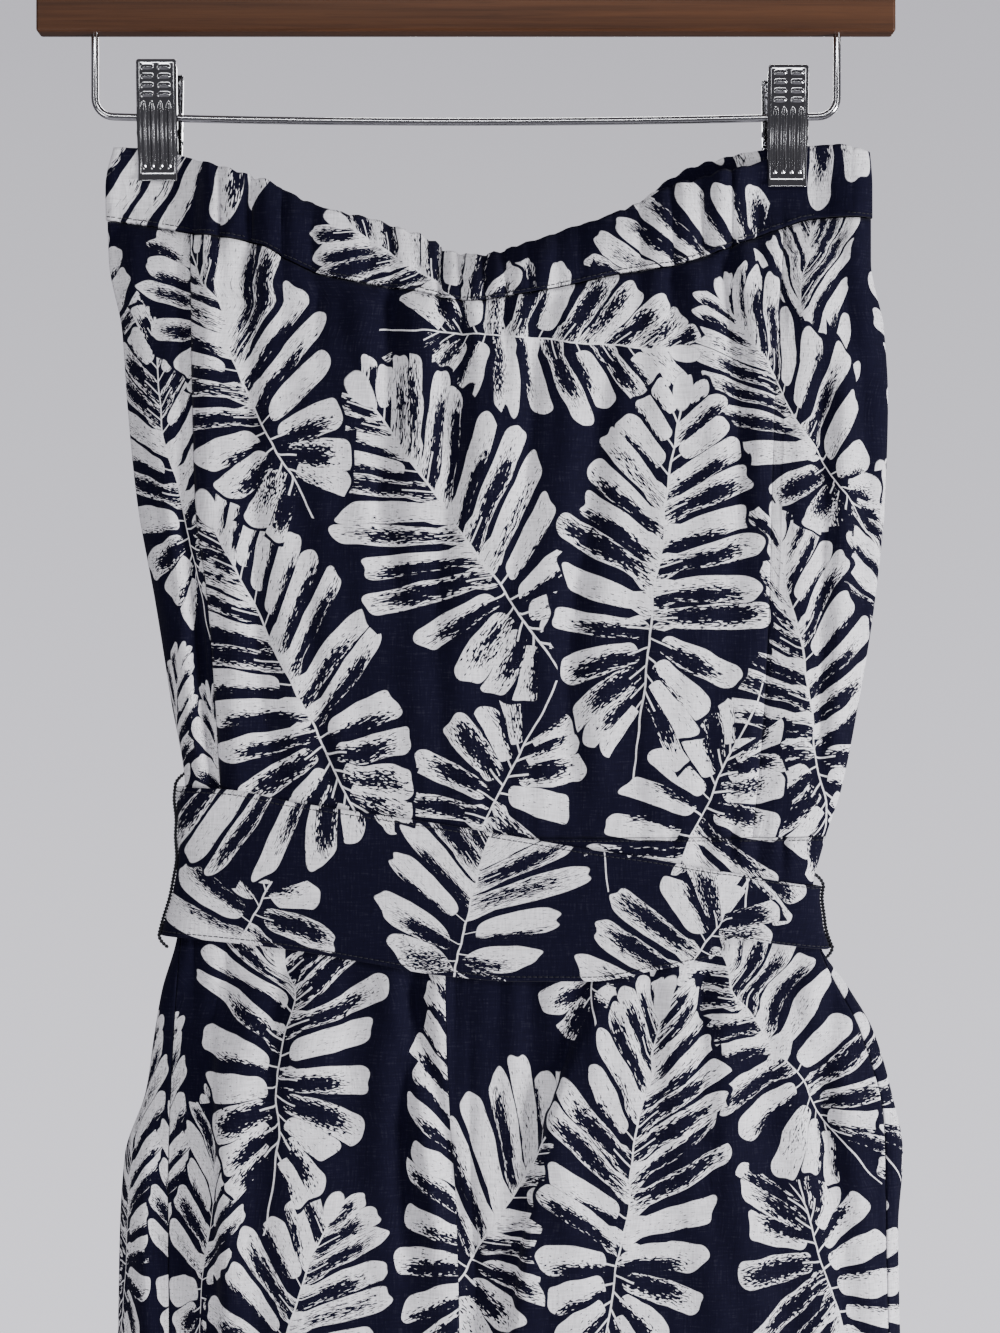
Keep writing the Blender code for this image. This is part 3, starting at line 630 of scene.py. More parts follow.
def lay_out(*rows: tuple) -> tuple[Frond, ...]:
    """Lay out leaves from rows of base, tip, reach, bend, seed and lean."""
    return tuple(Frond(*row) for row in rows)


BAND_PRINT = lay_out(
    ((-76, -138), (-244, -134), 88, 0.02, 10.3, 0.45), ((30, -272), (-72, -204), 44, -0.04, 11.7),
    ((70, -268), (-6, -246), 40, 0.05, 16.2, 0.0), ((172, -208), (76, -240), 48, 0.03, 12.4, 0.3),
    ((150, -138), (262, -138), 58, 0.05, 17.9, 0.0),
)
BODICE_PRINT = lay_out(
    ((87, -459), (112, -289), 55, 0.03, 1.3, 0.1), ((-81, -348), (-158, -209), 52, 0.05, 4.4, 0.5),
    ((49, -430), (-58, -289), 58, -0.05, 2.7, 0.4), ((-34, -259), (113, -270), 44, 0.04, 3.9, 0.1),
    ((-50, -508), (-134, -347), 54, -0.04, 5.8, 0.35), ((215, -358), (137, -240), 42, 0.05, 6.1, 0.6),
    ((190, -330), (184, -196), 30, 0.05, 14.5, 1.2), ((38, -446), (-44, -596), 52, 0.03, 7.5),
    ((141, -452), (62, -600), 50, 0.05, 8.2), ((189, -516), (160, -352), 50, 0.03, 9.6, 0.3),
    ((240, -470), (226, -330), 42, 0.05, 15.1), ((278, -334), (256, -196), 42, 0.05, 16.8, 0.5),
)
LEFT_SIDE_PRINT = lay_out(
    ((-130, -286), (-160, -206), 34, 0.05, 4.4, 0.35), ((-134, -400), (-174, -250), 38, 0.04, 13.9, 0.4),
    ((-110, -545), (-134, -438), 22, 0.03, 12.9), ((-176, -560), (-152, -420), 20, 0.03, 18.3),
    ((-204, -338), (-212, -204), 36, 0.04, 69.4), ((-212, -500), (-206, -364), 36, 0.04, 69.9),
)
BACK_PRINT = lay_out(
    ((-60, -430), (-96, -280), 52, 0.04, 21.3), ((40, -330), (84, -190), 50, 0.05, 22.8),
    ((126, -490), (96, -340), 52, -0.04, 23.4), ((-20, -310), (-30, -170), 48, 0.05, 24.9),
    ((-130, -330), (-160, -190), 48, 0.05, 25.1), ((170, -340), (196, -200), 46, 0.05, 26.6),
    ((10, -520), (20, -370), 50, 0.05, 27.2), ((-120, -560), (-134, -420), 48, 0.05, 28.7),
    ((196, -520), (204, -380), 46, 0.05, 29.4), ((-200, -470), (-206, -340), 46, 0.05, 30.2),
)
LEFT_SHORTS_PRINT = lay_out(
    ((-102, -681), (-84, -510), 51, 0.02, 31.0, 0.35), ((-106, -808), (-71, -689), 48, -0.04, 32.3, 0.35),
    ((8, -800), (-1, -566), 42, 0.02, 33.8, 0.05), ((-136, -766), (-134, -640), 22, 0.03, 34.2, 0.8),
    ((-178, -770), (-162, -604), 24, 0.03, 37.4, 0.7), ((-30, -950), (-46, -820), 46, 0.03, 35.5),
    ((-170, -940), (-160, -800), 46, 0.03, 36.1), ((-226, -690), (-208, -560), 46, 0.04, 38.2, 0.4),
    ((-312, -705), (-296, -565), 50, -0.04, 39.5, 0.3), ((-224, -862), (-244, -722), 48, 0.04, 60.4, 0.35),
    ((-322, -870), (-300, -738), 48, 0.04, 61.7, 0.3), ((-272, -985), (-264, -868), 46, 0.04, 62.1, 0.3),
)
RIGHT_SHORTS_PRINT = lay_out(
    ((72, -771), (103, -588), 49, 0.04, 41.0, 0.35), ((208, -667), (120, -555), 46, 0.05, 42.7, 0.0),
    ((-18, -748), (58, -638), 58, 0.04, 43.5, 0.5), ((164, -667), (228, -842), 45, 0.04, 44.9, 0.3),
    ((68, -602), (58, -490), 42, 0.05, 46.6), ((120, -930), (130, -800), 46, 0.05, 45.3),
    ((20, -940), (14, -800), 44, 0.05, 47.1), ((262, -720), (246, -600), 36, 0.05, 48.4),
    ((338, -698), (348, -560), 50, -0.04, 63.3, 0.3), ((250, -872), (276, -742), 48, 0.04, 64.9, 0.4),
    ((344, -862), (362, -722), 50, 0.04, 65.2, 0.35), ((292, -985), (288, -880), 46, 0.04, 66.6, 0.3),
    ((386, -985), (392, -880), 46, 0.04, 67.8, 0.3), ((206, -990), (202, -880), 46, 0.04, 68.3, 0.3),
)
BELT_PRINT = lay_out(
    ((-7, -586), (13, -502), 54, 0.04, 51.3, 0.45), ((-30, -476), (-176, -470), 58, 0.02, 52.9, 0.35),
    ((-94, -524), (-146, -612), 52, 0.04, 54.8, 0.1), ((134, -540), (70, -622), 52, 0.04, 53.4, 0.0),
    ((140, -545), (148, -420), 46, 0.04, 55.2, 0.0), ((68, -514), (52, -330), 40, 0.02, 50.6, 0.3),
    ((250, -580), (200, -480), 44, 0.04, 56.6), ((-240, -590), (-205, -480), 44, 0.04, 57.1),
    ((330, -600), (300, -480), 44, 0.04, 58.7), ((-330, -600), (-310, -480), 44, 0.04, 59.3),
    ((408, -600), (392, -475), 44, 0.04, 70.2), ((-402, -604), (-390, -480), 44, 0.04, 70.8),
)


def nearest_fronds(chart: tuple[Frond, ...], middles: Array) -> Array:
    """Numbers of the two leaves of a chart nearest to each place, in two rows, the one listed first on top."""
    far = np.array([frond.distance(middles) for frond in chart])
    return np.sort(np.argsort(far, axis=0)[:2], axis=0)


# ---------------- cloth meshes


@dataclass
class ClothPanel:
    """A piece of cloth as a thin closed shell, half its thickness on each side of a surface."""

    name: str
    surface: Surface
    across: Array  # places of the columns, from 0 to 1
    down: Array  # places of the rows, from 0 to 1
    chart: tuple[Frond, ...]
    cut_across: Surface | None = None  # place across the cut cloth, where it isn't measured on the panel
    cut_way: float = 0.0  # 1 or -1 for the way that the cut runs along the columns, or 0 to follow x
    shell: float | Surface = SHELL
    grain_at: float = 0.5  # the column that the cut is measured from, where it keeps its own x
    guard: Callable[[Array], Array] | None = None  # moves points that would cross a neighbour
    wrong_side: float = 1.0  # 0 where the cloth is turned over on itself and shows its right side both ways

    def cut_places(self, u: Array, v: Array, middle: Array) -> Array:
        """Where each point lay on the flat cloth.

        Args:
            u: Places across the panel.
            v: Places down it.
            middle: Points of the panel, half way through the cloth.

        Returns:
            Places in millimetres, across and up.
        """
        if self.cut_across is not None:
            return np.stack([self.cut_across(u, v), middle[..., 2]], axis=-1)
        run = run_along(middle)
        column = int(np.argmin(np.abs(self.across - self.grain_at)))
        run = run - run[column]
        way = self.cut_way or np.sign(middle[-1, 0, 0] - middle[0, 0, 0]) or 1.0
        return np.stack([run * way + middle[column, :, 0][None, :], middle[..., 2]], axis=-1)

    def build(self) -> Piece:
        """Make the mesh with its atlas, its places on the cut cloth and its print.

        Returns:
            The new object, at the origin.
        """
        u, v = np.meshgrid(self.across, self.down, indexing="ij")
        middle = self.surface(u, v)
        normal = normals_of(self.surface, u, v, 1e-3)
        inside_out = outwardness(middle, normal).sum() < 0
        half = (self.shell(u, v) if callable(self.shell) else self.shell + 0.0 * u)[..., None] / 2
        walls = [middle + normal * half, middle - normal * half]
        if self.guard is not None:
            walls = [self.guard(wall) for wall in walls]
        columns, rows = u.shape
        index = np.arange(columns * rows).reshape(columns, rows)
        quads = np.stack([index[:-1, :-1], index[1:, :-1], index[1:, 1:], index[:-1, 1:]], axis=-1).reshape(-1, 4)
        rim = np.concatenate([index[:, 0], index[-1, 1:], index[-2::-1, -1], index[0, -2:0:-1]])
        onward = np.roll(rim, -1)
        count = columns * rows
        edge = np.stack([onward, rim, rim + count, onward + count], axis=-1)
        faces = np.concatenate([quads, quads[:, ::-1] + count, edge])
        cut = self.cut_places(u, v, middle).reshape(-1, 2)
        mesh = bpy.data.meshes.new(f"linen_{self.name}")
        points = np.concatenate([wall.reshape(-1, 3) for wall in walls]) * MM
        mesh.from_pydata(points.tolist(), [], faces.tolist())
        smooth = np.ones(len(faces), bool)
        smooth[len(quads) * 2 :] = False
        mesh.polygons.foreach_set("use_smooth", smooth)
        self.add_atlas(mesh, u, v, faces)
        wrong = np.repeat([1.0, 0.0] if inside_out else [0.0, 1.0], count) * self.wrong_side
        self.add_print(mesh, faces, np.vstack([cut, cut]), wrong)
        mesh.update()
        piece = bpy.data.objects.new(f"linen_{self.name}", mesh)
        bpy.context.scene.collection.objects.link(piece)
        return piece

    def add_atlas(self, mesh: bpy.types.Mesh, u: Array, v: Array, faces: Array) -> None:
        """Lay the two walls side by side in the atlas, and the rim in a strip between them.

        Args:
            mesh: The mesh.
            u: Places across the panel.
            v: Places down it.
            faces: Corners of every face, those of the rim last.
        """
        flat = np.stack([0.01 + 0.47 * u, 0.02 + 0.96 * v], axis=-1).reshape(-1, 2)
        both = np.vstack([flat, flat + (0.51, 0.0)])
        places = both[faces]
        rim = slice(len(faces) - 2 * (u.shape[0] + u.shape[1] - 2), None)
        places[rim] = places[rim][:, :1] * 0 + (0.495, 0.5) + (places[rim] - places[rim][:, :1]) * 0.01
        mesh.uv_layers.new(name="OFBake").data.foreach_set("uv", places.reshape(-1).astype(np.float32))

    def add_print(self, mesh: bpy.types.Mesh, faces: Array, cut: Array, wrong: Array) -> None:
        """Store where each corner lies on the cut cloth and on its two nearest leaves.

        Args:
            mesh: The mesh.
            faces: Corners of every face.
            cut: Place of each point on the cut cloth.
            wrong: 1 for each point on the wrong side of the cloth, and 0 on its right side.
        """
        place = np.column_stack([cut, wrong]).astype(np.float32)
        mesh.attributes.new("cut", "FLOAT_VECTOR", "POINT").data.foreach_set("vector", place.reshape(-1))
        corners = cut[faces]
        chosen = nearest_fronds(self.chart, corners.mean(axis=1))
        for name, row in zip(("upper_leaf", "lower_leaf"), chosen):
            drawn = np.zeros((len(faces), 4, 3))
            for number in np.unique(row):
                drawn[row == number] = self.chart[number].local(corners[row == number])
            layer = mesh.attributes.new(name, "FLOAT_VECTOR", "CORNER")
            layer.data.foreach_set("vector", drawn.reshape(-1).astype(np.float32))


def spread(count: int, focus: tuple[Pair, ...] = ()) -> Array:
    """Places from 0 to 1, closer together round some of them.

    Args:
        count: How many steps to take.
        focus: Place and width of each stretch with closer steps.

    Returns:
        count + 1 rising places.
    """
    t = np.linspace(0, 1, 4001)
    density = np.ones(len(t))
    for place, width in focus:
        density += 4.0 * np.exp(-(((t - place) / width) ** 2))
    run = np.concatenate([[0], np.cumsum((density[1:] + density[:-1]) / 2)])
    return np.interp(np.linspace(0, 1, count + 1), run / run[-1], t)


class Girth:
    """Length round the folded body from its front middle, read from a table worked out once."""

    every: float = 5.0  # from one measured height to the next

    def __init__(self) -> None:
        """Measure the sections from above the bands to below the waist."""
        self.angles = np.linspace(-math.pi, math.pi, 1801)
        self.heights = np.arange(-560.0, -150.0, self.every)
        angle, z = np.meshgrid(self.angles, self.heights)
        points = body_point(angle, z)
        run = np.cumsum(np.linalg.norm(np.diff(points, axis=1), axis=-1), axis=1)
        run = np.hstack([np.zeros((len(run), 1)), run])
        middle = np.array([
            np.interp(0, -points[row][self.angles > 0][:, 0] + MIDDLE_X, run[row][self.angles > 0])
            for row in range(len(run))
        ])
        self.run = MIDDLE_X - (run - middle[:, None])
        self.run[:, self.angles < -math.pi / 2] -= run[:, -1:]

    def at(self, angle: Array, z: Array) -> Array:
        """Where a point lies across the cut cloth.

        Args:
            angle: Its angle round the body.
            z: Its height.

        Returns:
            Places in millimetres.
        """
        share = (angle + math.pi) % (2 * math.pi) / (2 * math.pi)
        turned = share * (len(self.angles) - 1)
        i = np.clip(turned.astype(int), 0, len(self.angles) - 2)
        row = np.clip((z - self.heights[0]) / self.every, 0, len(self.heights) - 1.001)
        j = row.astype(int)
        a, b = turned - i, row - j
        low = self.run[j, i] * (1 - a) + self.run[j, i + 1] * a
        high = self.run[j + 1, i] * (1 - a) + self.run[j + 1, i + 1] * a
        return low * (1 - b) + high * b


# ---------------- finishes


def linear(colour: str) -> tuple[float, float, float, float]:
    """Turn an sRGB hex colour into the linear values that shaders take."""
    parts = [int(colour[i : i + 2], 16) / 255 for i in (1, 3, 5)]
    return (*(c / 12.92 if c <= 0.04045 else ((c + 0.055) / 1.055) ** 2.4 for c in parts), 1.0)


def plug(node: bpy.types.Node, inputs: dict) -> None:
    """Set or link some inputs of a node.

    Args:
        node: The node.
        inputs: A node or socket to link, or a value, for each input by name or number.
    """
    for key, value in inputs.items():
        if isinstance(value, bpy.types.Node):
            value = value.outputs[0]
        if isinstance(value, bpy.types.NodeSocket):
            node.id_data.links.new(value, node.inputs[key])
        else:
            node.inputs[key].default_value = value


def add(tree: Tree, kind: str, inputs: dict | None = None, **settings: object) -> bpy.types.Node:
    """Add a node with its settings and links.

    Args:
        tree: Where it goes.
        kind: Its type's name.
        inputs: What plug() takes.
        settings: The node's own properties.

    Returns:
        The new node.
    """
    node = tree.nodes.new(kind)
    for name, value in settings.items():
        setattr(node, name, value)
    plug(node, inputs or {})
    return node


def new_material(name: str) -> tuple[Material, Tree, bpy.types.Node]:
    """Start a material.

    Args:
        name: Its name.

    Returns:
        The material, its nodes and its shader.
    """
    material = bpy.data.materials.new(name)
    material.use_nodes = True
    return material, material.node_tree, material.node_tree.nodes["Principled BSDF"]


SIGNS = {"+": "ADD", "-": "SUBTRACT", "*": "MULTIPLY", "/": "DIVIDE"}


@dataclass
class Workings:
    """Values of a drawing by name, each worked out from earlier ones by a line of a recipe."""

    tree: Tree
    known: dict[str, bpy.types.NodeSocket]

    def follow(self, recipe: str) -> None:
        """Work out every line of a recipe and keep what it gives.

        Args:
            recipe: Lines of a new name and one step: a * b + c, a sign between two terms, or the name
                of an operation and its terms. A new name marked ! is kept between 0 and 1.
        """
        for line in recipe.strip().splitlines():
            result, _, *terms = line.split()
            if terms[0].isupper():
                operation, *terms = terms
            else:
                operation = "MULTIPLY_ADD" if len(terms) > 3 else SIGNS[terms[1]]
                terms = terms[::2]
            inputs = {k: self.known[term] if term in self.known else float(term) for k, term in enumerate(terms)}
            node = add(self.tree, "ShaderNodeMath", inputs, operation=operation, use_clamp=result.endswith("!"))
            self.known[result.rstrip("!")] = node.outputs[0]


# Which leaflet a place belongs to. Leaflets fan out from a node a third of the way up: forward above it, and
# sharply back below it.
FAN_RECIPE = """
hundredth = coded * 0.01
every = FLOOR hundredth
pace = every * 0.001
left_over = every * -100.0 + coded
tenths = left_over * 10.0
whole = ROUND tenths
seed = whole * 0.1
sway = wobble_x - 0.5
lean = wobble_y - 0.5
up = sway * 0.018 + up_flat
across = lean * 0.018 + across_flat
out = ABSOLUTE across
side = GREATER_THAN across 0.0
from_node = up - 0.33
upper = GREATER_THAN from_node 0.0
fan = upper * -6.1 + 8.0
dense = upper * -0.5 + 1.5
spread = out * fan + 1.0
packed = from_node * dense
root = packed / spread
seed5 = seed * 5.3
any5 = FRACT seed5
offset = side * 0.5 + any5
steps = root / pace
stepped = steps + offset
number = FLOOR stepped
row = side * 3.0 + 0.5
"""

# Where a place lies along and beside its leaflet, which slants and curls in its own way; any_a to any_d are the
# leaflet's own random numbers.
AXIS_RECIPE = """
half = number + 0.5
back = half - offset
placed = back * pace
high = GREATER_THAN placed 0.0
sparse = high * 0.333 + 0.667
far = placed * sparse
foot = far + 0.33
opening = high * -6.1 + 8.0
turn = far * opening
shake = any_c * 0.16 + -0.08
slant = turn + shake
square = slant * slant + 1.0
scale = INVERSE_SQRT square
rise = up - foot
ahead = rise * slant + out
along = ahead * scale
drop = out * slant
beside0 = rise - drop
beside1 = beside0 * scale
curl = any_b * 0.6 + -0.3
along2 = along * along
beside = along2 * curl + beside1
lobe0 = any_d * 50.0
lobe = beside * 17.0 + lobe0
long = along * 62.0
fine = beside * 290.0
own = number * 3.1 + seed
"""

# The leaflet's outline, its dry-brush streaks, its stalk and the stem: 1 is white and 0 is navy.
LEAFLET_RECIPE = """
above0 = MAXIMUM far 0.0
above1 = above0 / 0.70
above2 = above1 * above1
above3 = 1.0 - above2
above4 = MAXIMUM above3 0.0
above5 = POWER above4 0.65
below0 = MINIMUM far 0.0
below1 = below0 * 1.2 + 1.0
tall0 = above5 * below1
vary = any_a * 0.080 + 0.262
dent = notch * 0.036 + -0.018
tall = tall0 * vary + dent
plump = any_b * 0.11 + 0.40
thick0 = plump * pace
part = along / tall
part1 = part / 0.55
part2 = MINIMUM part1 1.0
swell = part2 * 0.42 + 0.66
thick1 = thick0 * swell
to_tip = foot * -1.5 + 2.2
to_tip1 = MINIMUM to_tip 1.0
thick2 = thick1 * to_tip1
loose0 = LESS_THAN any_a 0.2
loose1 = LESS_THAN far -0.02
loose = MAXIMUM loose0 loose1
joined = 1.0 - loose
near = 0.06 - along
near1 = MAXIMUM near 0.0
web = near1 * joined
thick = web * 0.45 + thick2
end0 = along - tall
end1 = end0 + thick
start0 = joined * -0.10 + 0.034
start1 = start0 + thick
start2 = start1 - along
cap0 = MAXIMUM end1 start2
cap1 = cap0 / thick
cap2 = MAXIMUM cap1 0.0
cap = POWER cap2 2.6
wide = beside / thick
wide1 = ABSOLUTE wide
wide2 = POWER wide1 2.6
round = cap + wide2
within = 1.0 - round
shape! = within * 9.0 + 0.5
on_stem = LESS_THAN foot 0.975
above = GREATER_THAN foot 0.10
real = on_stem * above
leaflet = shape * real
streak0 = any_d * 1.2 + -1.05
streak1 = wide - streak0
streak2 = any_a * 0.40 + 0.42
streak3 = streak1 / streak2
streak4 = streak3 * streak3
mid0 = any_c * -0.25 + -0.25
mid1 = part + mid0
mid2 = mid1 / 0.44
mid3 = mid2 * mid2
fall = mid3 * mid3 + streak4
fall1 = fall * -1.0
dry0 = EXPONENT fall1
any_e0 = any_c * 7.0
any_e = FRACT any_e0
much = any_e * 3.0
much1 = MINIMUM much 1.0
dry = dry0 * much1
limit = dry * 0.50 + 0.30
speck0 = bristle - limit
speck! = speck0 * 36.0 + 0.5
brushed = leaflet * speck
stalk0 = ABSOLUTE beside
stalk1! = stalk0 * -800.0 + 2.4
stalk2 = LESS_THAN along 0.07
stalk3 = stalk1 * stalk2
stalk = stalk3 * real
node0 = ABSOLUTE from_node
node1 = SQRT node0
node2 = SQRT out
node3 = node1 + node2
star! = node3 * 60.0 + -10.5
starred = brushed * star
stem1! = out * -800.0 + 2.7
stem2 = LESS_THAN up 0.95
stem3 = GREATER_THAN up -0.13
stem4 = stem2 * stem3
stem = stem1 * stem4
top0 = up - 1.0
top1 = top0 / 0.058
top2 = across / 0.030
top3 = top1 * top1
top4 = top2 * top2 + top3
top5 = 1.0 - top4
top! = top5 * 6.0 + 0.5
white0 = MAXIMUM starred stalk
white1 = MAXIMUM stem top
white = MAXIMUM white0 white1
over0 = tall - along
over1! = over0 * 400.0 + 5.0
over2 = over1 * real
cover = MAXIMUM over2 top
"""

# How the two leaves lie over each other, and the weave's painted shade and highlight: the printed colour is scaled by
# the threads' height, darker in the low places and lighter on the raised threads and slubs.
CLOTH_RECIPE = """
open = 1.0 - cover
seen = lower * open
white = MAXIMUM upper seen
weave = warp + weft
slub = weave - 1.0
light = slub * 0.64 + 1.0
fleck0 = slub - 0.08
fleck! = fleck0 * 0.04
"""


@dataclass(frozen=True)
class PrintedLinen:
    """Plain-woven linen, washed soft, with brushed white leaves on navy: matt, with slubs in both threads, and the
    weave's relief painted into its colour as shade and highlight.
    """

    name: str = "navy_leaf_linen"
    navy: str = "#090820"
    white: str = "#edebf1"
    wrong_navy: str = "#2c2f45"  # the print seen from the back of the cloth
    wrong_white: str = "#9a99a2"
    thread: float = 0.9  # mm; the real 0.5 mm threads drawn this coarse so that they show
    slub: float = 9.0  # mm
    roughness: float = 0.88

    def leaf_group(self) -> Tree:
        """Draw one leaf: leaflets with dry-brush streaks, a thin stem, and where it covers what is below.

        Returns:
            A node group from a place on the leaf to its white and its cover.
        """
        tree = bpy.data.node_groups.new("brushed_leaf", "ShaderNodeTree")
        tree.interface.new_socket("Leaf", in_out="INPUT", socket_type="NodeSocketVector")
        for name in ("White", "Cover"):
            tree.interface.new_socket(name, in_out="OUTPUT", socket_type="NodeSocketFloat")
        place = add(tree, "NodeGroupInput").outputs[0]
        split = add(tree, "ShaderNodeSeparateXYZ", {0: place}).outputs
        wobble = add(tree, "ShaderNodeTexNoise", {"Vector": place, "Scale": 9.0, "Detail": 1.0})
        drift = add(tree, "ShaderNodeSeparateColor", {0: wobble.outputs["Color"]}).outputs
        known = dict(zip(("up_flat", "across_flat", "coded", "wobble_x", "wobble_y"), (*split, *drift)))
        workings = Workings(tree, known)
        workings.follow(FAN_RECIPE)
        key = add(tree, "ShaderNodeCombineXYZ", {0: known["number"], 1: known["row"], 2: known["seed"]})
        chance = add(tree, "ShaderNodeTexWhiteNoise", {"Vector": key})
        thirds = add(tree, "ShaderNodeSeparateColor", {0: chance.outputs["Color"]}).outputs
        known |= dict(zip(("any_a", "any_b", "any_c"), thirds))
        known["any_d"] = chance.outputs["Value"]
        workings.follow(AXIS_RECIPE)
        lobes = {"W": known["lobe"], "Scale": 1.0, "Detail": 0.0}
        known["notch"] = add(tree, "ShaderNodeTexNoise", lobes, noise_dimensions="1D").outputs[0]
        grain = add(tree, "ShaderNodeCombineXYZ", {0: known["long"], 1: known["fine"], 2: known["own"]})
        hairs = {"Vector": grain, "Scale": 1.0, "Detail": 1.0, "Roughness": 0.4}
        known["bristle"] = add(tree, "ShaderNodeTexNoise", hairs).outputs[0]
        workings.follow(LEAFLET_RECIPE)
        add(tree, "NodeGroupOutput", {"White": known["white"], "Cover": known["cover"]})
        return tree

    def threads(self, tree: Tree, cut: bpy.types.NodeSocket) -> dict[str, bpy.types.NodeSocket]:
        """Draw the warp, which runs up the cloth, and the weft across it, both uneven along their length.

        Args:
            tree: The material's nodes.
            cut: Places on the cut cloth.

        Returns:
            The height of both threads.
        """
        thin, long = 1 / self.thread, 1 / self.slub
        uneven = {"Scale": 1.0, "Detail": 2.0, "Roughness": 0.55}
        drawn = {}
        for name, way in (("warp", (thin, long, 0.0)), ("weft", (long, thin, 0.0))):
            laid = add(tree, "ShaderNodeMapping", {"Vector": cut, "Scale": way})
            drawn[name] = add(tree, "ShaderNodeTexNoise", {"Vector": laid, **uneven}).outputs[0]
        return drawn

    def build(self) -> Material:
        """Make the material.

        Returns:
            The material, with the leaves read from each piece's own attributes.
        """
        material, tree, shader = new_material(self.name)
        group = self.leaf_group()
        leaves = []
        for name in ("upper_leaf", "lower_leaf"):
            place = add(tree, "ShaderNodeAttribute", attribute_name=name).outputs["Vector"]
            leaves.append(add(tree, "ShaderNodeGroup", {0: place}, node_tree=group).outputs)
        upper, lower = leaves
        cut = add(tree, "ShaderNodeAttribute", attribute_name="cut").outputs["Vector"]
        wrong = add(tree, "ShaderNodeSeparateXYZ", {0: cut}).outputs[2]
        known = {"upper": upper["White"], "cover": upper["Cover"], "lower": lower["White"], **self.threads(tree, cut)}
        Workings(tree, known).follow(CLOTH_RECIPE)
        navy, white = linear(self.navy), linear(self.white)
        fleck = {0: known["fleck"], 6: navy, 7: white}
        ink = add(tree, "ShaderNodeMix", fleck, data_type="RGBA").outputs[2]
        right = add(tree, "ShaderNodeMix", {0: known["white"], 6: ink, 7: white}, data_type="RGBA").outputs[2]
        faded = {0: known["white"], 6: linear(self.wrong_navy), 7: linear(self.wrong_white)}
        back = add(tree, "ShaderNodeMix", faded, data_type="RGBA").outputs[2]
        cloth = add(tree, "ShaderNodeMix", {0: wrong, 6: right, 7: back}, data_type="RGBA").outputs[2]
        # Base colour: the print times light, the weave's painted shade and highlight.
        plug(shader, {
            "Base Color": add(tree, "ShaderNodeVectorMath", {0: cloth, 1: known["light"]}, operation="MULTIPLY"),
            "Normal": add(tree, "ShaderNodeBump", {"Height": known["weave"], "Strength": 0.5, "Distance": 0.0004}),
            "Roughness": self.roughness,
            "Specular IOR Level": 0.12,
            "Sheen Weight": 0.03,
            "Sheen Roughness": 0.5,
        })
        return material


@dataclass(frozen=True)
class SewingThread:
    """Spun polyester thread in dark dye: matt, with a twist that shows as fine slanting lines, and a painted highlight
    on the crown of each turn.
    """

    name: str
    colour: str
    crown_highlight: str = "#22232f"  # painted highlight on the crown of each turn
    twist: float = 0.6  # mm from one turn of the ply to the next

    def build(self) -> Material:
        """Make the material.

        Returns:
            The material.
        """
        material, tree, shader = new_material(self.name)
        place = add(tree, "ShaderNodeTexCoord").outputs["Object"]
        turns = {"Vector": place, "Scale": 1 / (self.twist * MM) / 20, "Distortion": 1.5}
        ply = add(tree, "ShaderNodeTexWave", turns, bands_direction="DIAGONAL").outputs[1]
        # Painted highlight: the crown of each turn of the ply is mixed towards a lighter colour.
        crown = add(tree, "ShaderNodeMapRange", {0: ply, 3: 0.0, 4: 0.35})
        dye_and_crown_highlight = {0: crown, 6: linear(self.colour), 7: linear(self.crown_highlight)}
        plug(shader, {
            "Base Color": add(tree, "ShaderNodeMix", dye_and_crown_highlight, data_type="RGBA").outputs[2],
            "Normal": add(tree, "ShaderNodeBump", {"Height": ply, "Strength": 0.4, "Distance": 0.0001}),
            "Roughness": 0.7,
        })
        return material


@dataclass(frozen=True)
class StainedWood:
    """Straight-grained hardwood, stained brown and satin lacquered: fine dark pores run along the bar."""

    name: str = "stained_wood"
    light: str = "#583620"
    dark: str = "#3c2213"
    grain: float = 1.3  # mm across one band of the grain

    def build(self) -> Material:
        """Make the material.

        Returns:
            The material.
        """
        material, tree, shader = new_material(self.name)
        place = add(tree, "ShaderNodeTexCoord").outputs["Object"]
        bands = 1 / (self.grain * MM)
        drawn_out = add(tree, "ShaderNodeMapping", {"Vector": place, "Scale": (bands * 0.02, bands, bands)})
        waves = {"Vector": drawn_out, "Scale": 0.35, "Detail": 4.0, "Roughness": 0.65, "Distortion": 0.4}
        figure = add(tree, "ShaderNodeTexNoise", waves)
        pores = add(tree, "ShaderNodeTexNoise", {"Vector": drawn_out, "Scale": 2.6, "Detail": 2.0})
        share = add(tree, "ShaderNodeMapRange", {0: figure, 1: 0.32, 2: 0.70})
        stains = {0: share, 6: linear(self.dark), 7: linear(self.light)}
        wood = add(tree, "ShaderNodeMix", stains, data_type="RGBA").outputs[2]
        shade = add(tree, "ShaderNodeMapRange", {0: pores, 1: 0.30, 2: 0.42, 3: 0.72, 4: 1.0})
        plug(shader, {
            "Base Color": add(tree, "ShaderNodeVectorMath", {0: wood, 1: shade}, operation="MULTIPLY"),
            "Roughness": add(tree, "ShaderNodeMapRange", {0: pores, 3: 0.48, 4: 0.34}),
            "Normal": add(tree, "ShaderNodeBump", {"Height": pores, "Strength": 0.15, "Distance": 0.0002}),
            "Specular IOR Level": 0.3,
            "Coat Weight": 0.03,
            "Coat Roughness": 0.25,
        })
        return material


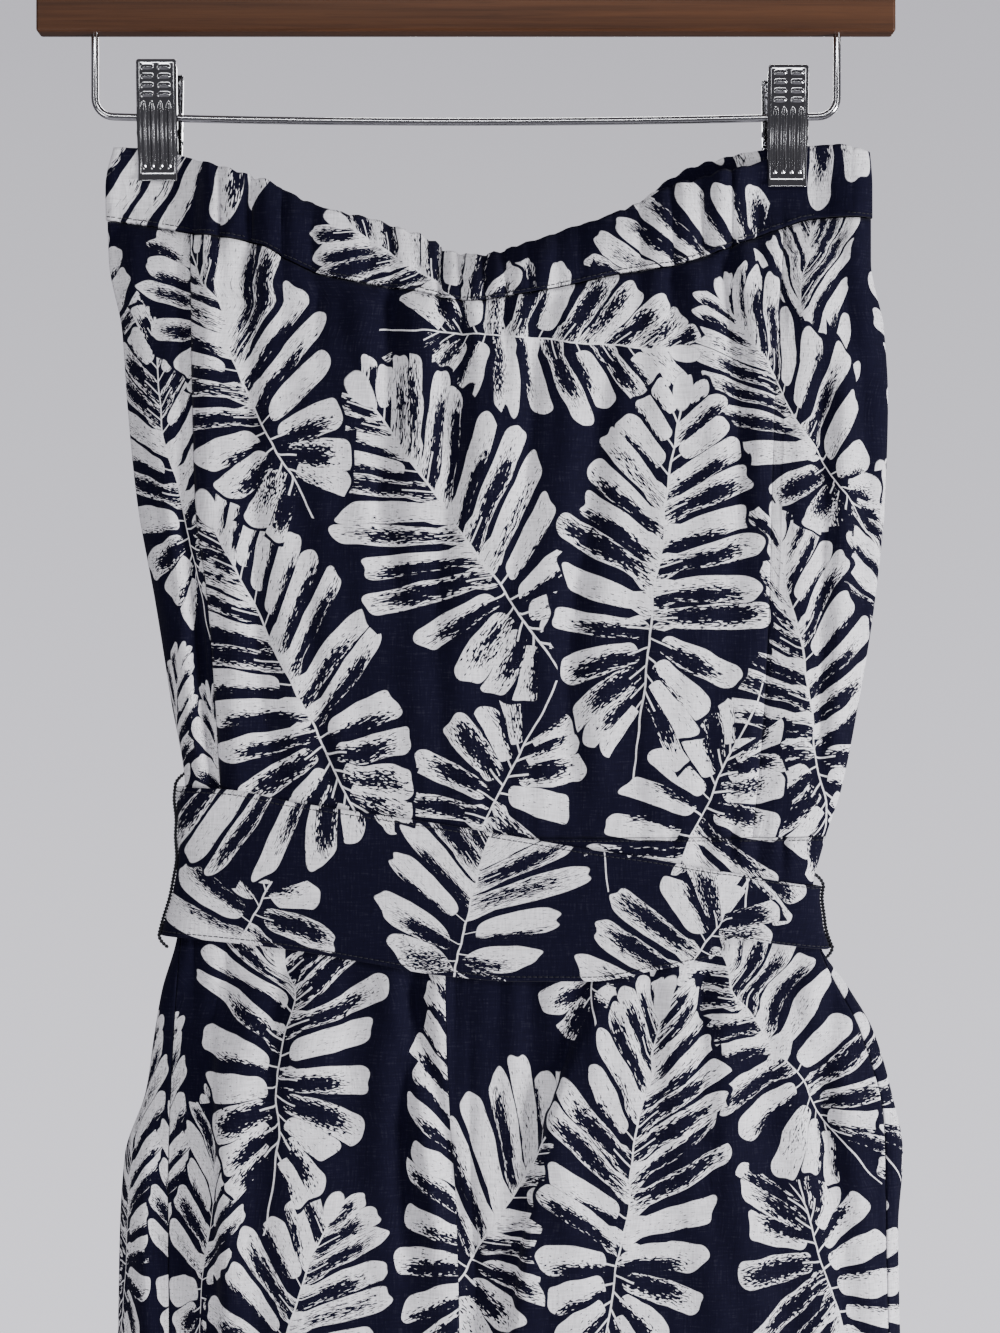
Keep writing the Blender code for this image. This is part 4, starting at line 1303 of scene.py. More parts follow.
@dataclass(frozen=True)
class PlatedSteel:
    """Polished steel under bright nickel-chrome plate: a mirror with faint rubbed marks."""

    name: str
    colour: str
    roughness: float
    rubbed: float = 0.05  # roughness added where it is most rubbed
    scratch: float = 0.25  # mm
    smudge: float = 100 / 9  # mm

    def build(self) -> Material:
        """Make the material.

        Returns:
            The material.
        """
        material, tree, shader = new_material(self.name)
        place = add(tree, "ShaderNodeTexCoord").outputs["Object"]
        fine = 1 / (self.scratch * MM)
        drawn_out = add(tree, "ShaderNodeMapping", {"Vector": place, "Scale": (fine, fine, fine * 0.08)})
        marks = add(tree, "ShaderNodeTexNoise", {"Vector": drawn_out, "Scale": 0.5, "Detail": 3.0})
        smuts = add(tree, "ShaderNodeTexNoise", {"Vector": place, "Scale": 1 / (self.smudge * MM), "Detail": 2.0})
        tone = add(tree, "ShaderNodeMapRange", {0: smuts, 3: 0.86, 4: 1.0})
        gloss = {0: marks, 1: 0.3, 2: 0.75, 3: self.roughness, 4: self.roughness + self.rubbed}
        plate = {0: linear(self.colour)[:3], 1: tone}
        plug(shader, {
            "Base Color": add(tree, "ShaderNodeVectorMath", plate, operation="MULTIPLY"),
            "Roughness": add(tree, "ShaderNodeMapRange", gloss),
            "Metallic": 1.0,
        })
        return material


@dataclass(frozen=True)
class StudioPaint:
    """Matt emulsion on a studio floor: pale, even, a little mottled by the roller."""

    name: str = "studio_paint"
    colour: str = "#d4d2d8"
    mottle: float = 50 / 3  # mm

    def build(self) -> Material:
        """Make the material.

        Returns:
            The material.
        """
        material, tree, shader = new_material(self.name)
        place = add(tree, "ShaderNodeTexCoord").outputs["Object"]
        mottled = add(tree, "ShaderNodeTexNoise", {"Vector": place, "Scale": 1 / (self.mottle * MM), "Detail": 3.0})
        tone = add(tree, "ShaderNodeMapRange", {0: mottled, 3: 0.97, 4: 1.0})
        paint = {0: linear(self.colour)[:3], 1: tone}
        plug(shader, {
            "Base Color": add(tree, "ShaderNodeVectorMath", paint, operation="MULTIPLY"),
            "Roughness": 0.9,
        })
        return material


@dataclass
class Finishes:
    """Every finish of the object, made once."""

    linen: Material = field(default_factory=lambda: PrintedLinen().build())
    thread: Material = field(default_factory=lambda: SewingThread("black_thread", "#0c0c18").build())
    wood: Material = field(default_factory=lambda: StainedWood().build())
    chrome: Material = field(default_factory=lambda: PlatedSteel("chrome", "#a2a2a6", 0.09).build())
    steel: Material = field(default_factory=lambda: PlatedSteel("bright_steel", "#c8c8cc", 0.12).build())


def settle(piece: Piece, material: Material, slot: str, *nodes: str) -> Piece:
    """Give a piece its material, and put it in the place of the solids that it stands for.

    Args:
        piece: The piece.
        material: Its finish.
        slot: Not used.
        nodes: Solids that it stands for; none where it is added to them.

    Returns:
        The same piece.
    """
    piece.data.materials.clear()
    piece.data.materials.append(material)
    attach(piece, "root")
    if nodes:
        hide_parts(*nodes)
    return piece


# ---------------- the garment


@dataclass(frozen=True)
class Half:
    """The front or the back of something that goes round the body, between its two side seams."""

    face: Face
    edge: float  # angle left free at each end

    @property
    def label(self) -> str:
        """The word used in the names of pieces."""
        return self.face.name.lower()

    def angle(self, u: Array) -> Array:
        """Angle round the body a share of the way along."""
        far = math.pi - self.edge
        return between(far, self.edge, u) if self.face is Face.FRONT else between(-self.edge, -far, u)

    def band(self, u: Array, v: Array) -> Array:
        """A point of the casing band at the top."""
        return band_point(self.angle(u), v)

    def casing(self, top: float, bottom: float, u: Array, v: Array) -> Array:
        """A point of the cloth between two heights."""
        return body_point(self.angle(u), between(top, bottom, v))


@dataclass(frozen=True)
class BodicePanel:
    """One panel of the bodice, from one seam round to the next."""

    name: str
    first: tuple[int, bool, float]  # what bodice_angle() takes for the first seam
    last: tuple[int, bool, float]
    turn: float  # added to the last seam's angle
    width: float  # across the cut cloth, before the fullness that folds take up
    chart: tuple[Frond, ...]

    def angle(self, u: Array, z: Array) -> Array:
        """Angle round the body a share of the way across."""
        return between(bodice_angle(*self.first, z), bodice_angle(*self.last, z) + self.turn, u)

    def height(self, u: Array, v: Array) -> Array:
        """Height of a point, found by closing in on it.

        Args:
            u: Places across.
            v: 0 under the band's seam and 1 at the waist casing.

        Returns:
            Heights in millimetres.
        """
        z = -240.0 + 0.0 * u
        for _ in range(5):
            x = body_point(self.angle(u, z), z)[..., 0]
            z = between(along(NECKLINE, 3, x) - SEAM_GAP / 2, WAIST_TOP + GAP / 2, v)
        return z

    def point(self, u: Array, v: Array) -> Array:
        """A point of the panel."""
        z = self.height(u, v)
        return body_point(self.angle(u, z), z)

    def cut(self, girth: Girth, u: Array, v: Array) -> Array:
        """Where a point lies across the cut cloth."""
        z = self.height(u, v)
        return girth.at(self.angle(u, z), z)


@dataclass
class Bodice:
    """Elastic bands and the four panels that hang from them."""

    finishes: Finishes
    girth: Girth
    edge: float = 0.012  # angle left free between the bands at the sides
    seam: float = 0.2  # from a seam to the cloth on each side
    drop: float = 280.0  # height of a panel
    fullness: float = 1.06  # cut width over hung width
    band_size: Pair = (0.43, 0.034)  # metres, as cut and folded

    def band_cut(self, half: Half, u: Array, v: Array) -> Array:
        """Where a point of the band lies across the cut cloth."""
        angle = half.angle(u)
        return self.girth.at(angle, band_point(angle, v)[..., 2])

    def bands(self) -> list[Piece]:
        """Make the front and back halves of the casing.

        Returns:
            Both bands.
        """
        made = []
        for half in (Half(face, self.edge) for face in Face):
            panel = ClothPanel(
                f"band_{half.label}", half.band, spread(260), spread(24), BAND_PRINT,
                partial(self.band_cut, half) if half.face is Face.FRONT else None,
                shell=CASING_SHELL, wrong_side=0.0,
            )
            piece = settle(panel.build(), self.finishes.linen, "navy_leaf_linen", panel.name)
            made.append(piece)
        return made

    def panels(self) -> list[Piece]:
        """Make the front, back and side panels.

        Returns:
            The four panels.
        """
        left, right, seam = 1, 2, self.seam
        made = []
        for cloth in (
            BodicePanel("bodice_front", (left, True, seam), (right, True, -seam), 0.0, 300.0, BODICE_PRINT),
            BodicePanel("bodice_side_right", (right, True, seam), (right, False, seam), 0.0, 90.0, BODICE_PRINT),
            BodicePanel("bodice_back", (right, False, -seam), (left, False, seam), 0.0, 300.0, BACK_PRINT),
            BodicePanel(
                "bodice_side_left", (left, False, -seam), (left, True, -seam), -2 * math.pi, 80.0, LEFT_SIDE_PRINT
            ),
        ):
            panel = ClothPanel(
                cloth.name, cloth.point, spread(round(cloth.width / GRID)), spread(round(self.drop / GRID)),
                cloth.chart, None if cloth.name == "bodice_back" else partial(cloth.cut, self.girth),
            )
            piece = settle(panel.build(), self.finishes.linen, "navy_leaf_linen", cloth.name)
            made.append(piece)
        return made

    def build(self) -> list[Piece]:
        """The bands and the panels under them."""
        return self.bands() + self.panels()


@dataclass
class Waist:
    """The casing that gathers bodice and shorts, and the belt over it."""

    finishes: Finishes
    edge: float = 0.012  # angle left free between the halves of the casing at the sides
    belt_shell: float = 1.5
    belt_start: float = -math.pi / 2 - 0.16  # angle of the end that lies underneath, at the back
    belt_lap: float = 0.32  # angle that the other end goes past it
    belt_lift: float = 3.7  # from the body to the belt
    lap_lift: float = 2.8  # more for the end that lies on top
    flare: float = 3.5  # how far the lower edge stands out over the left hip

    def casing(self) -> list[Piece]:
        """Make the front and back halves of the casing.

        Returns:
            Both halves.
        """
        made = []
        for half in (Half(face, self.edge) for face in Face):
            surface = partial(half.casing, WAIST_TOP - GAP / 2, WAIST_BOTTOM + GAP / 2)
            panel = ClothPanel(f"waist_{half.label}", surface, spread(160), spread(14), BODICE_PRINT)
            piece = settle(panel.build(), self.finishes.linen, "navy_leaf_linen", panel.name)
            made.append(piece)
        return made

    def belt_point(self, u: Array, v: Array) -> Array:
        """A point of the belt.

        Args:
            u: 0 at its lapped end at the back, and 1 at the other, once round.
            v: 0 at its upper edge and 1 at the lower.

        Returns:
            Points in millimetres.
        """
        angle = self.belt_start - (2 * math.pi + self.belt_lap) * u
        z = -530.0 + 0.0 * u
        for _ in range(4):
            x = body_point(angle, z, False)[..., 0]
            z = between(along(BELT_EDGES, 1, x), along(BELT_EDGES, 2, x), v)
        turn = 1e-3
        base = body_point(angle, z, False)
        across = body_point(angle - turn, z, False) - body_point(angle + turn, z, False)
        outward = unit(np.stack([across[..., 1], -across[..., 0], 0 * x], axis=-1))
        flare = self.flare * smooth_step(0.55, 1.0, v) * smooth_step(-110, -150, x)
        lap = self.lap_lift * smooth_step(0.915, 0.94, u)
        lift = self.belt_lift + flare + 1.2 * smooth_step(0.6, 1.0, v) + lap
        lift = lift + 0.9 * unevenness(x * 0.6, z * 2.4, 34.0, np.where(base[..., 1] < 0, 0.2, 3.0))
        return base + outward * lift[..., None]

    def belt(self) -> Piece:
        """Make the belt, folded lengthways round the waist.

        Returns:
            The belt.
        """
        panel = ClothPanel(
            "belt", self.belt_point, spread(330), spread(34), BELT_PRINT,
            cut_way=1.0, shell=self.belt_shell, wrong_side=0.0,
        )
        piece = settle(panel.build(), self.finishes.linen, "navy_leaf_linen", "belt")
        return piece

    def build(self) -> list[Piece]:
        """The casing and the belt."""
        return [*self.casing(), self.belt()]


@dataclass(frozen=True)
class LegPanel:
    """The front or back panel of one leg; the back one comes round to the side seam that shows in front."""

    side: Side
    face: Face
    width: float  # across the cut cloth
    fold_at: ClassVar[float] = 0.5  # where the front's fold runs, from 0 to 1 across

    @property
    def front(self) -> bool:
        """Whether it is a front panel."""
        return self.face is Face.FRONT

    @property
    def turned(self) -> bool:
        """Whether its columns run from the inner seam to the side seam."""
        return (self.side is Side.RIGHT) == self.front

    @property
    def chart(self) -> tuple[Frond, ...]:
        """The leaves printed on it."""
        return LEFT_SHORTS_PRINT if self.side is Side.LEFT else RIGHT_SHORTS_PRINT

    def side_seam(self, z: Array) -> Array:
        """Angle of the side seam, as far as this panel comes."""
        x = along(SHORTS_SEAMS, 2 if self.side is Side.LEFT else 3, z)
        return leg_angle(self.side, z, x + (-0.2 if self.front else 0.2) * self.side.value, True)

    def height(self, v: Array) -> Array:
        """Height, a share of the way down."""
        return between(LEG_TOP, HEM_Z, v)

    def point(self, u: Array, v: Array) -> Array:
        """A point of the panel; the front one keeps a column on its long fold.

        Args:
            u: Places across.
            v: Places down.

        Returns:
            Points in millimetres.
        """
        u = 1 - u if self.turned else u
        z = self.height(v)
        seam = self.side_seam(z)
        if not self.front:
            return leg_point(self.side, between(seam, -math.pi, u), z)
        fold = LEFT_LEG_FOLD if self.side is Side.LEFT else RIGHT_LEG_FOLD
        lane = leg_angle(self.side, z, along(fold.table(), 1, z), True)
        outer = between(seam, lane, u / self.fold_at)
        inner = between(lane, math.pi, (u - self.fold_at) / (1 - self.fold_at))
        return leg_point(self.side, np.where(u < self.fold_at, outer, inner), z)

    def shell(self, u: Array, v: Array) -> Array:
        """Thickness, greater in the turned hem."""
        top = HEM_Z + HEM_DEPTH
        return between(SHELL, HEM_SHELL, smooth_step(top + 2, top, self.height(v)))

    def keep_apart(self, points: Array) -> Array:
        """Hold the panel on its own side of the centre seam, and of the inner leg's seam.

        Args:
            points: Points of one of its walls.

        Returns:
            The points, moved where they went past a seam.
        """
        points = points.copy()
        centre = along(SHORTS_SEAMS, 1, points[..., 2])
        clamp = np.minimum if self.side is Side.LEFT else np.maximum
        points[..., 0] = clamp(points[..., 0], centre + self.side.value * SEAM_HALF / 2)
        near = (np.abs(points[..., 0] - centre) < 14) & (points[..., 2] < CROTCH_Z + 30)
        back = -1.0 if self.front else 1.0
        clear = np.maximum(points[..., 1] * back, GAP / 2) * back
        points[..., 1] = np.where(near, clear, points[..., 1])
        return points


@dataclass
class Shorts:
    """Two legs of a front and a back panel each."""

    finishes: Finishes
    drop: float = 368.0  # height of a panel
    front_width: float = 190.0  # as meshed
    back_width: float = 250.0
    lane: Pair = (0.5, 0.03)  # place and width of the closer columns along the fronts' folds

    def panel(self, cloth: LegPanel) -> Piece:
        """Make one panel.

        Args:
            cloth: Which one, and its form.

        Returns:
            The panel.
        """
        columns = round((self.front_width if cloth.front else self.back_width) / GRID)
        panel = ClothPanel(
            f"leg_{cloth.face.name.lower()}_{cloth.side.label}", cloth.point,
            spread(columns, (self.lane,) if cloth.front else ()), spread(round(self.drop / GRID)), cloth.chart,
            cut_way=0.0 if cloth.front else 1.0, shell=cloth.shell,
            grain_at=0.0 if cloth.turned == cloth.front else 1.0, guard=cloth.keep_apart,
        )
        piece = settle(panel.build(), self.finishes.linen, "navy_leaf_linen", panel.name)
        return piece

    def build(self) -> list[Piece]:
        """Make both legs.

        Returns:
            The four panels.
        """
        return [
            self.panel(LegPanel(Side.LEFT, Face.FRONT, 150.0)),
            self.panel(LegPanel(Side.LEFT, Face.BACK, 204.0)),
            self.panel(LegPanel(Side.RIGHT, Face.FRONT, 220.0)),
            self.panel(LegPanel(Side.RIGHT, Face.BACK, 243.0)),
        ]


# ---------------- shaping by hand


def lay_down(name: str) -> Piece:
    """Lay the place, turn and size of the primitive just added into its mesh.

    Args:
        name: Its new name.

    Returns:
        The piece, at the origin.
    """
    piece = bpy.context.object
    piece.name = piece.data.name = name
    bpy.ops.object.transform_apply(location=True, rotation=True, scale=True)
    return piece


def open_up(piece: Piece) -> None:
    """Deselect everything, then open one piece in edit mode.

    Args:
        piece: The piece.
    """
    bpy.ops.object.select_all(action="DESELECT")
    piece.select_set(True)
    bpy.context.view_layer.objects.active = piece
    bpy.ops.object.mode_set(mode="EDIT")


def pick(piece: Piece, kind: str, test: Callable[[Vector, Vector], bool]) -> None:
    """Select the parts of an open piece that pass a test of their place.

    Args:
        piece: The piece in edit mode.
        kind: VERT, EDGE or FACE.
        test: Takes the middle of a part in millimetres, and the normal there.
    """
    bpy.ops.mesh.select_mode(type=kind)
    bpy.ops.mesh.select_all(action="DESELECT")
    mesh = bmesh.from_edit_mesh(piece.data)
    for part in {"VERT": mesh.verts, "EDGE": mesh.edges, "FACE": mesh.faces}[kind]:
        corners = [part] if kind == "VERT" else part.verts
        middle = sum((corner.co for corner in corners), Vector()) / len(corners) / MM
        way = part.normal if kind != "EDGE" else corners[0].normal
        if test(middle, way):
            part.select_set(True)
    mesh.select_flush_mode()
    bmesh.update_edit_mesh(piece.data)


def shift(x: float, y: float, z: float) -> dict[str, tuple[float, float, float]]:
    """Millimetres as the argument that the translate and extrude operators take."""
    return {"value": (x * MM, y * MM, z * MM)}


def close_up(piece: Piece, angle: float = 40.0) -> None:
    """Leave edit mode with the faces outwards, apply the modifiers and smooth the shading.

    Args:
        piece: The piece in edit mode.
        angle: Edges sharper than this many degrees stay sharp.
    """
    bpy.ops.object.mode_set(mode="OBJECT")
    for modifier in list(piece.modifiers):
        bpy.ops.object.modifier_apply(modifier=modifier.name)
    bpy.ops.object.mode_set(mode="EDIT")
    bpy.ops.mesh.select_all(action="SELECT")
    bpy.ops.mesh.remove_doubles(threshold=1e-6)
    bpy.ops.mesh.normals_make_consistent(inside=False)
    bpy.ops.object.mode_set(mode="OBJECT")
    bpy.ops.object.shade_smooth_by_angle(angle=math.radians(angle))


def face_outwards(piece: Piece) -> None:
    """Turn every face of a closed piece outwards.

    Args:
        piece: The piece in object mode.
    """
    open_up(piece)
    bpy.ops.mesh.select_all(action="SELECT")
    bpy.ops.mesh.normals_make_consistent(inside=False)
    bpy.ops.object.mode_set(mode="OBJECT")


# ---------------- the hanger


@dataclass
class Hanger:
    """Wooden bar on a wire hook, with a bent wire under it that the clips slide on."""

    finishes: Finishes
    bar_size: tuple[float, float, float] = (428.0, 14.0, 40.2)
    bar_middle: float = -88.1
    bar_round: float = 3.4
    seat_wall: float = 3.2  # wood left round the hook's seat
    seat_depth: float = 4.0
    hook_wire: float = 1.9  # radius
    crown: float = 21.9  # radius of the hook
    crown_z: float = -20.0
    hook_start: float = -28.0  # degrees
    hook_end: float = 230.0
    neck: Pair = (-39.4, -66.96)  # x and z of the centre of the bend between crown and stem
    stem_end: float = -92.0
    rod_span: float = 185.5
    rod_bend: float = 9.5
    rod_low: float = -149.4
    rod_sag: float = 2.6

    def bar(self) -> Piece:
        """Make the bar, sawn square, with every edge rounded over and a seat for the hook.

        Returns:
            The bar.
        """
        bpy.ops.object.select_all(action="DESELECT")
        scale = tuple(s * MM for s in self.bar_size)
        bpy.ops.mesh.primitive_cube_add(size=1.0, location=(0, 0, self.bar_middle * MM), scale=scale)
        piece = lay_down("wood_bar")
        open_up(piece)
        for x in (-6.0, 6.0):
            bpy.ops.mesh.select_all(action="SELECT")
            bpy.ops.mesh.bisect(plane_co=(x * MM, 0, 0), plane_no=(1, 0, 0))
        top = self.bar_middle + self.bar_size[2] / 2
        pick(piece, "FACE", lambda place, way: abs(place.x) < 1 and place.z > top - 0.1)
        bpy.ops.mesh.inset(thickness=self.seat_wall * MM)
        bpy.ops.mesh.extrude_region_move(TRANSFORM_OT_translate=shift(0, 0, -self.seat_depth))
        edge = piece.modifiers.new("rounded", "BEVEL")
        edge.width, edge.segments, edge.limit_method = self.bar_round * MM, 5, "ANGLE"
        edge.angle_limit = math.radians(50)
        close_up(piece)
        return settle(piece, self.finishes.wood, "stained_wood", "hanger_bar")

    def wire_end(self, radius: float, x: float, z: float, turn: float, name: str) -> Piece:
        """Start a wire from an open round end, left open in edit mode and selected.

        Args:
            radius: The wire's radius.
            x: Where its middle is, across.
            z: Its height.
            turn: How far it is turned about Y from facing up.
            name: The piece's name.

        Returns:
            The piece.
        """
        bpy.ops.object.select_all(action="DESELECT")
        bpy.ops.mesh.primitive_circle_add(
            vertices=18, radius=radius * MM, location=(x * MM, 0, z * MM), rotation=(0, turn, 0)
        )
        piece = lay_down(name)
        open_up(piece)
        bpy.ops.mesh.select_all(action="SELECT")
        return piece

    def cap(self, piece: Piece, *ends: Pair) -> None:
        """Fill the open ends of a wire and round them a little.

        Args:
            piece: The wire in edit mode.
            ends: Place across and height of each end.
        """
        for x, z in ends:
            pick(piece, "VERT", lambda place, way: math.dist((place.x, place.z), (x, z)) < 2.2)
            bpy.ops.mesh.edge_face_add()
            bpy.ops.mesh.bevel(offset=0.5 * MM, segments=2, affect="EDGES")

    def hook(self) -> Piece:
        """Draw the hook out along its crown, neck and stem.

        Returns:
            The hook.
        """
        start = math.radians(self.hook_start)
        x, z = self.crown * math.cos(start), self.crown_z + self.crown * math.sin(start)
        piece = self.wire_end(self.hook_wire, x, z, -start, "steel_hook")
        bpy.ops.mesh.spin(
            steps=44, angle=math.radians(self.hook_end - self.hook_start),
            center=(0, 0, self.crown_z * MM), axis=(0, 1, 0),
        )
        centre = (self.neck[0] * MM, 0, self.neck[1] * MM)
        bpy.ops.mesh.spin(steps=10, angle=math.radians(self.hook_end - 180.0), center=centre, axis=(0, -1, 0))
        bpy.ops.mesh.extrude_region_move(TRANSFORM_OT_translate=shift(0, 0, self.stem_end - self.neck[1]))
        self.cap(piece, (x, z), (0.0, self.stem_end))
        close_up(piece)
        return settle(piece, self.finishes.steel, "bright_steel", "hanger_hook")

    def rod(self) -> Piece:
        """Draw the wire under the bar down, across with a slight sag, and up again.

        Returns:
            The wire.
        """
        flat = self.rod_span - self.rod_bend
        low = self.rod_low + self.rod_bend
        piece = self.wire_end(ROD_RADIUS, -self.rod_span, self.stem_end, 0.0, "steel_rod")
        bpy.ops.mesh.extrude_region_move(TRANSFORM_OT_translate=shift(0, 0, low - self.stem_end))
        bpy.ops.mesh.spin(steps=8, angle=math.pi / 2, center=(-flat * MM, 0, low * MM), axis=(0, 1, 0))
        places = np.linspace(-flat, flat, 15)
        heights = self.rod_sag * (places / flat) ** 2
        for dx, dz in zip(np.diff(places), np.diff(heights)):
            bpy.ops.mesh.extrude_region_move(TRANSFORM_OT_translate=shift(dx, 0, dz))
        bpy.ops.mesh.spin(steps=8, angle=math.pi / 2, center=(flat * MM, 0, low * MM), axis=(0, 1, 0))
        bpy.ops.mesh.extrude_region_move(TRANSFORM_OT_translate=shift(0, 0, self.stem_end - low))
        self.cap(piece, (-self.rod_span, self.stem_end), (self.rod_span, self.stem_end))
        close_up(piece)
        return settle(piece, self.finishes.steel, "bright_steel", "hanger_rod")

    def build(self) -> list[Piece]:
        """The bar, the hook and the wire."""
        return [self.bar(), self.hook(), self.rod()]


@dataclass
class Clips:
    """Two sprung clips pressed from plated sheet: every jaw is the same pressing, the back ones turned round."""

    finishes: Finishes
    width: float = 20.5
    length: float = 60.0
    sheet: float = 0.9
    rim: float = 1.6
    rim_drop: float = 1.3  # how far the rim is turned back
    corner: float = 1.4
    flange: float = 4.2  # depth of the sides
    ear: float = 2.6  # how much deeper they are where the spring goes through
    ear_reach: Pair = (21.0, 36.0)  # below the head
    ear_middle: float = 29.0
    strips: tuple[float, ...] = (1.1, 3.2, 5.2, 7.3)  # edges of the ribs, from the middle out
    grips: tuple[float, ...] = (3.6, 8.0, 12.4, 16.8)  # tops of the rows of grips, below the head
    grip_height: float = 2.1
    ribs: Pair = (21.0, 54.0)  # where the ribs start and end, below the head
    slope: float = 0.75  # width of the slope round a rib or a grip
    rib_rise: float = 1.1
    grip_rise: float = 1.0
    # depth below the head, distance of the outer face from the middle of the clip
    profile: tuple[Pair, ...] = (
        (0, 11.6), (14, 10.4), (29, 8.4), (42, 5.5), (52, 4.15), (56.8, 4.05), (60, 5.9)
    )
    back_shift: Pair = (1.6, -3.6)  # of the back jaw: inwards, and change of height
    heads: ClassVar[dict[Side, float]] = {Side.LEFT: -122.4, Side.RIGHT: -125.2}  # height of each front jaw's head

    def levels(self) -> list[float]:
        """List where the blank is scored across.

        Returns:
            Depths below the head, from the least.
        """
        cuts = [self.rim, *self.ribs, self.ear_middle, self.ear_reach[1], 42.0, 48.0, 56.8]
        for top in self.grips:
            cuts += [top, top + self.grip_height]
        return sorted(cuts)

    def blank(self) -> Piece:
        """Cut the flat blank, scored where it will be pressed, its head's corners rounded.

        Returns:
            The blank in edit mode.
        """
        bpy.ops.object.select_all(action="DESELECT")
        scale = (self.width * MM, self.length * MM, 1.0)
        bpy.ops.mesh.primitive_plane_add(size=1.0, location=(0, 0, -self.length / 2 * MM), rotation=(math.pi / 2, 0, 0))
        bpy.context.object.scale = scale
        piece = lay_down("clip_pressing")
        open_up(piece)
        pick(piece, "VERT", lambda place, way: place.z > -0.1)
        bpy.ops.mesh.bevel(offset=self.corner * MM, segments=2, affect="VERTICES")
        edge = self.width / 2 - self.rim
        for x in [side * place for place in (*self.strips, edge) for side in (-1, 1)]:
            bpy.ops.mesh.select_all(action="SELECT")
            bpy.ops.mesh.bisect(plane_co=(x * MM, 0, 0), plane_no=(1, 0, 0))
        for depth in self.levels():
            bpy.ops.mesh.select_all(action="SELECT")
            bpy.ops.mesh.bisect(plane_co=(0, 0, -depth * MM), plane_no=(0, 0, 1))
        return piece

    def bend(self, piece: Piece) -> None:
        """Bend the scored blank to its profile and turn its rim back.

        Args:
            piece: The blank in edit mode.
        """
        rows = np.array(self.profile)
        mesh = bmesh.from_edit_mesh(piece.data)
        depths = sorted({round(-corner.co.z / MM, 2) for corner in mesh.verts})
        for depth in depths:
            pick(piece, "VERT", lambda place, way: abs(-place.z - depth) < 0.006)
            bpy.ops.transform.translate(**shift(0, -float(np.interp(depth, rows[:, 0], rows[:, 1])), 0))
        side = self.width / 2 - 0.6 * self.rim
        pick(piece, "VERT", lambda place, way: abs(place.x) > side or place.z > -0.6 * self.rim)
        bpy.ops.transform.translate(**shift(0, self.rim_drop, 0))

    def on_rib(self, place: Vector, way: Vector) -> bool:
        """Whether a face of the blank lies on one of the four ribs."""
        across, (first, second, third, last) = abs(place.x), self.strips
        return (first < across < second or third < across < last) and self.ribs[0] < -place.z < self.ribs[1]

    def on_grip(self, place: Vector, way: Vector) -> bool:
        """Whether a face of the blank lies on a row of grips."""
        in_row = any(top < -place.z < top + self.grip_height for top in self.grips)
        return self.strips[0] < abs(place.x) < self.strips[3] and in_row

    def on_side(self, place: Vector, way: Vector) -> bool:
        """Whether an edge of the blank is one that the sides are drawn back from."""
        return abs(place.x) > self.width / 2 - 0.1 and 3.0 < -place.z < self.ribs[1]

    def on_ear(self, place: Vector, way: Vector) -> bool:
        """Whether an edge of the pressing is the back edge of a side, where the ear goes on."""
        behind = place.y > -5.6 + (-place.z - self.ear_middle) * 0.15
        return behind and abs(place.x) > self.width / 2 - 0.1 and self.ear_reach[0] < -place.z < self.ear_reach[1]

    def press(self, piece: Piece) -> None:
        """Raise the ribs and the grips, then turn the sides back and draw out the ears.

        Args:
            piece: The bent blank in edit mode.
        """
        for chosen, rise in ((self.on_rib, self.rib_rise), (self.on_grip, self.grip_rise)):
            pick(piece, "FACE", chosen)
            bpy.ops.mesh.inset(thickness=self.slope * MM)
            bpy.ops.transform.translate(**shift(0, -rise, 0))
        for chosen, depth in ((self.on_side, self.flange), (self.on_ear, self.ear)):
            pick(piece, "EDGE", chosen)
            bpy.ops.mesh.extrude_region_move(TRANSFORM_OT_translate=shift(0, depth, 0))

    def jaw(self) -> Piece:
        """Make one finished pressing.

        Returns:
            The pressing, with its head at the origin.
        """
        piece = self.blank()
        self.bend(piece)
        self.press(piece)
        bpy.ops.mesh.select_all(action="SELECT")
        bpy.ops.mesh.normals_make_consistent(inside=False)
        mesh = bmesh.from_edit_mesh(piece.data)
        if sum(face.normal.y * face.calc_area() for face in mesh.faces) > 0:
            bpy.ops.mesh.flip_normals()
        wall = piece.modifiers.new("sheet", "SOLIDIFY")
        wall.thickness, wall.offset = self.sheet * MM, -1.0
        soft = piece.modifiers.new("drawn", "SUBSURF")
        soft.levels = soft.render_levels = 2
        close_up(piece, 60.0)
        return piece

    def copy(self, jaw: Piece, name: str, x: float, z: float, turned: bool) -> Piece:
        """Copy the pressing to its place.

        Args:
            jaw: The pressing.
            name: The piece's name.
            x: Where the head goes, across.
            z: Its height.
            turned: True for the back jaw, which faces the other way.

        Returns:
            The copy, with a mesh of its own.
        """
        bpy.ops.object.select_all(action="DESELECT")
        jaw.select_set(True)
        bpy.context.view_layer.objects.active = jaw
        bpy.ops.object.duplicate(linked=False)
        bpy.context.object.location = (x * MM, 0, z * MM)
        bpy.context.object.scale = (1, -1 if turned else 1, 1)
        piece = lay_down(name)
        face_outwards(piece)
        return piece

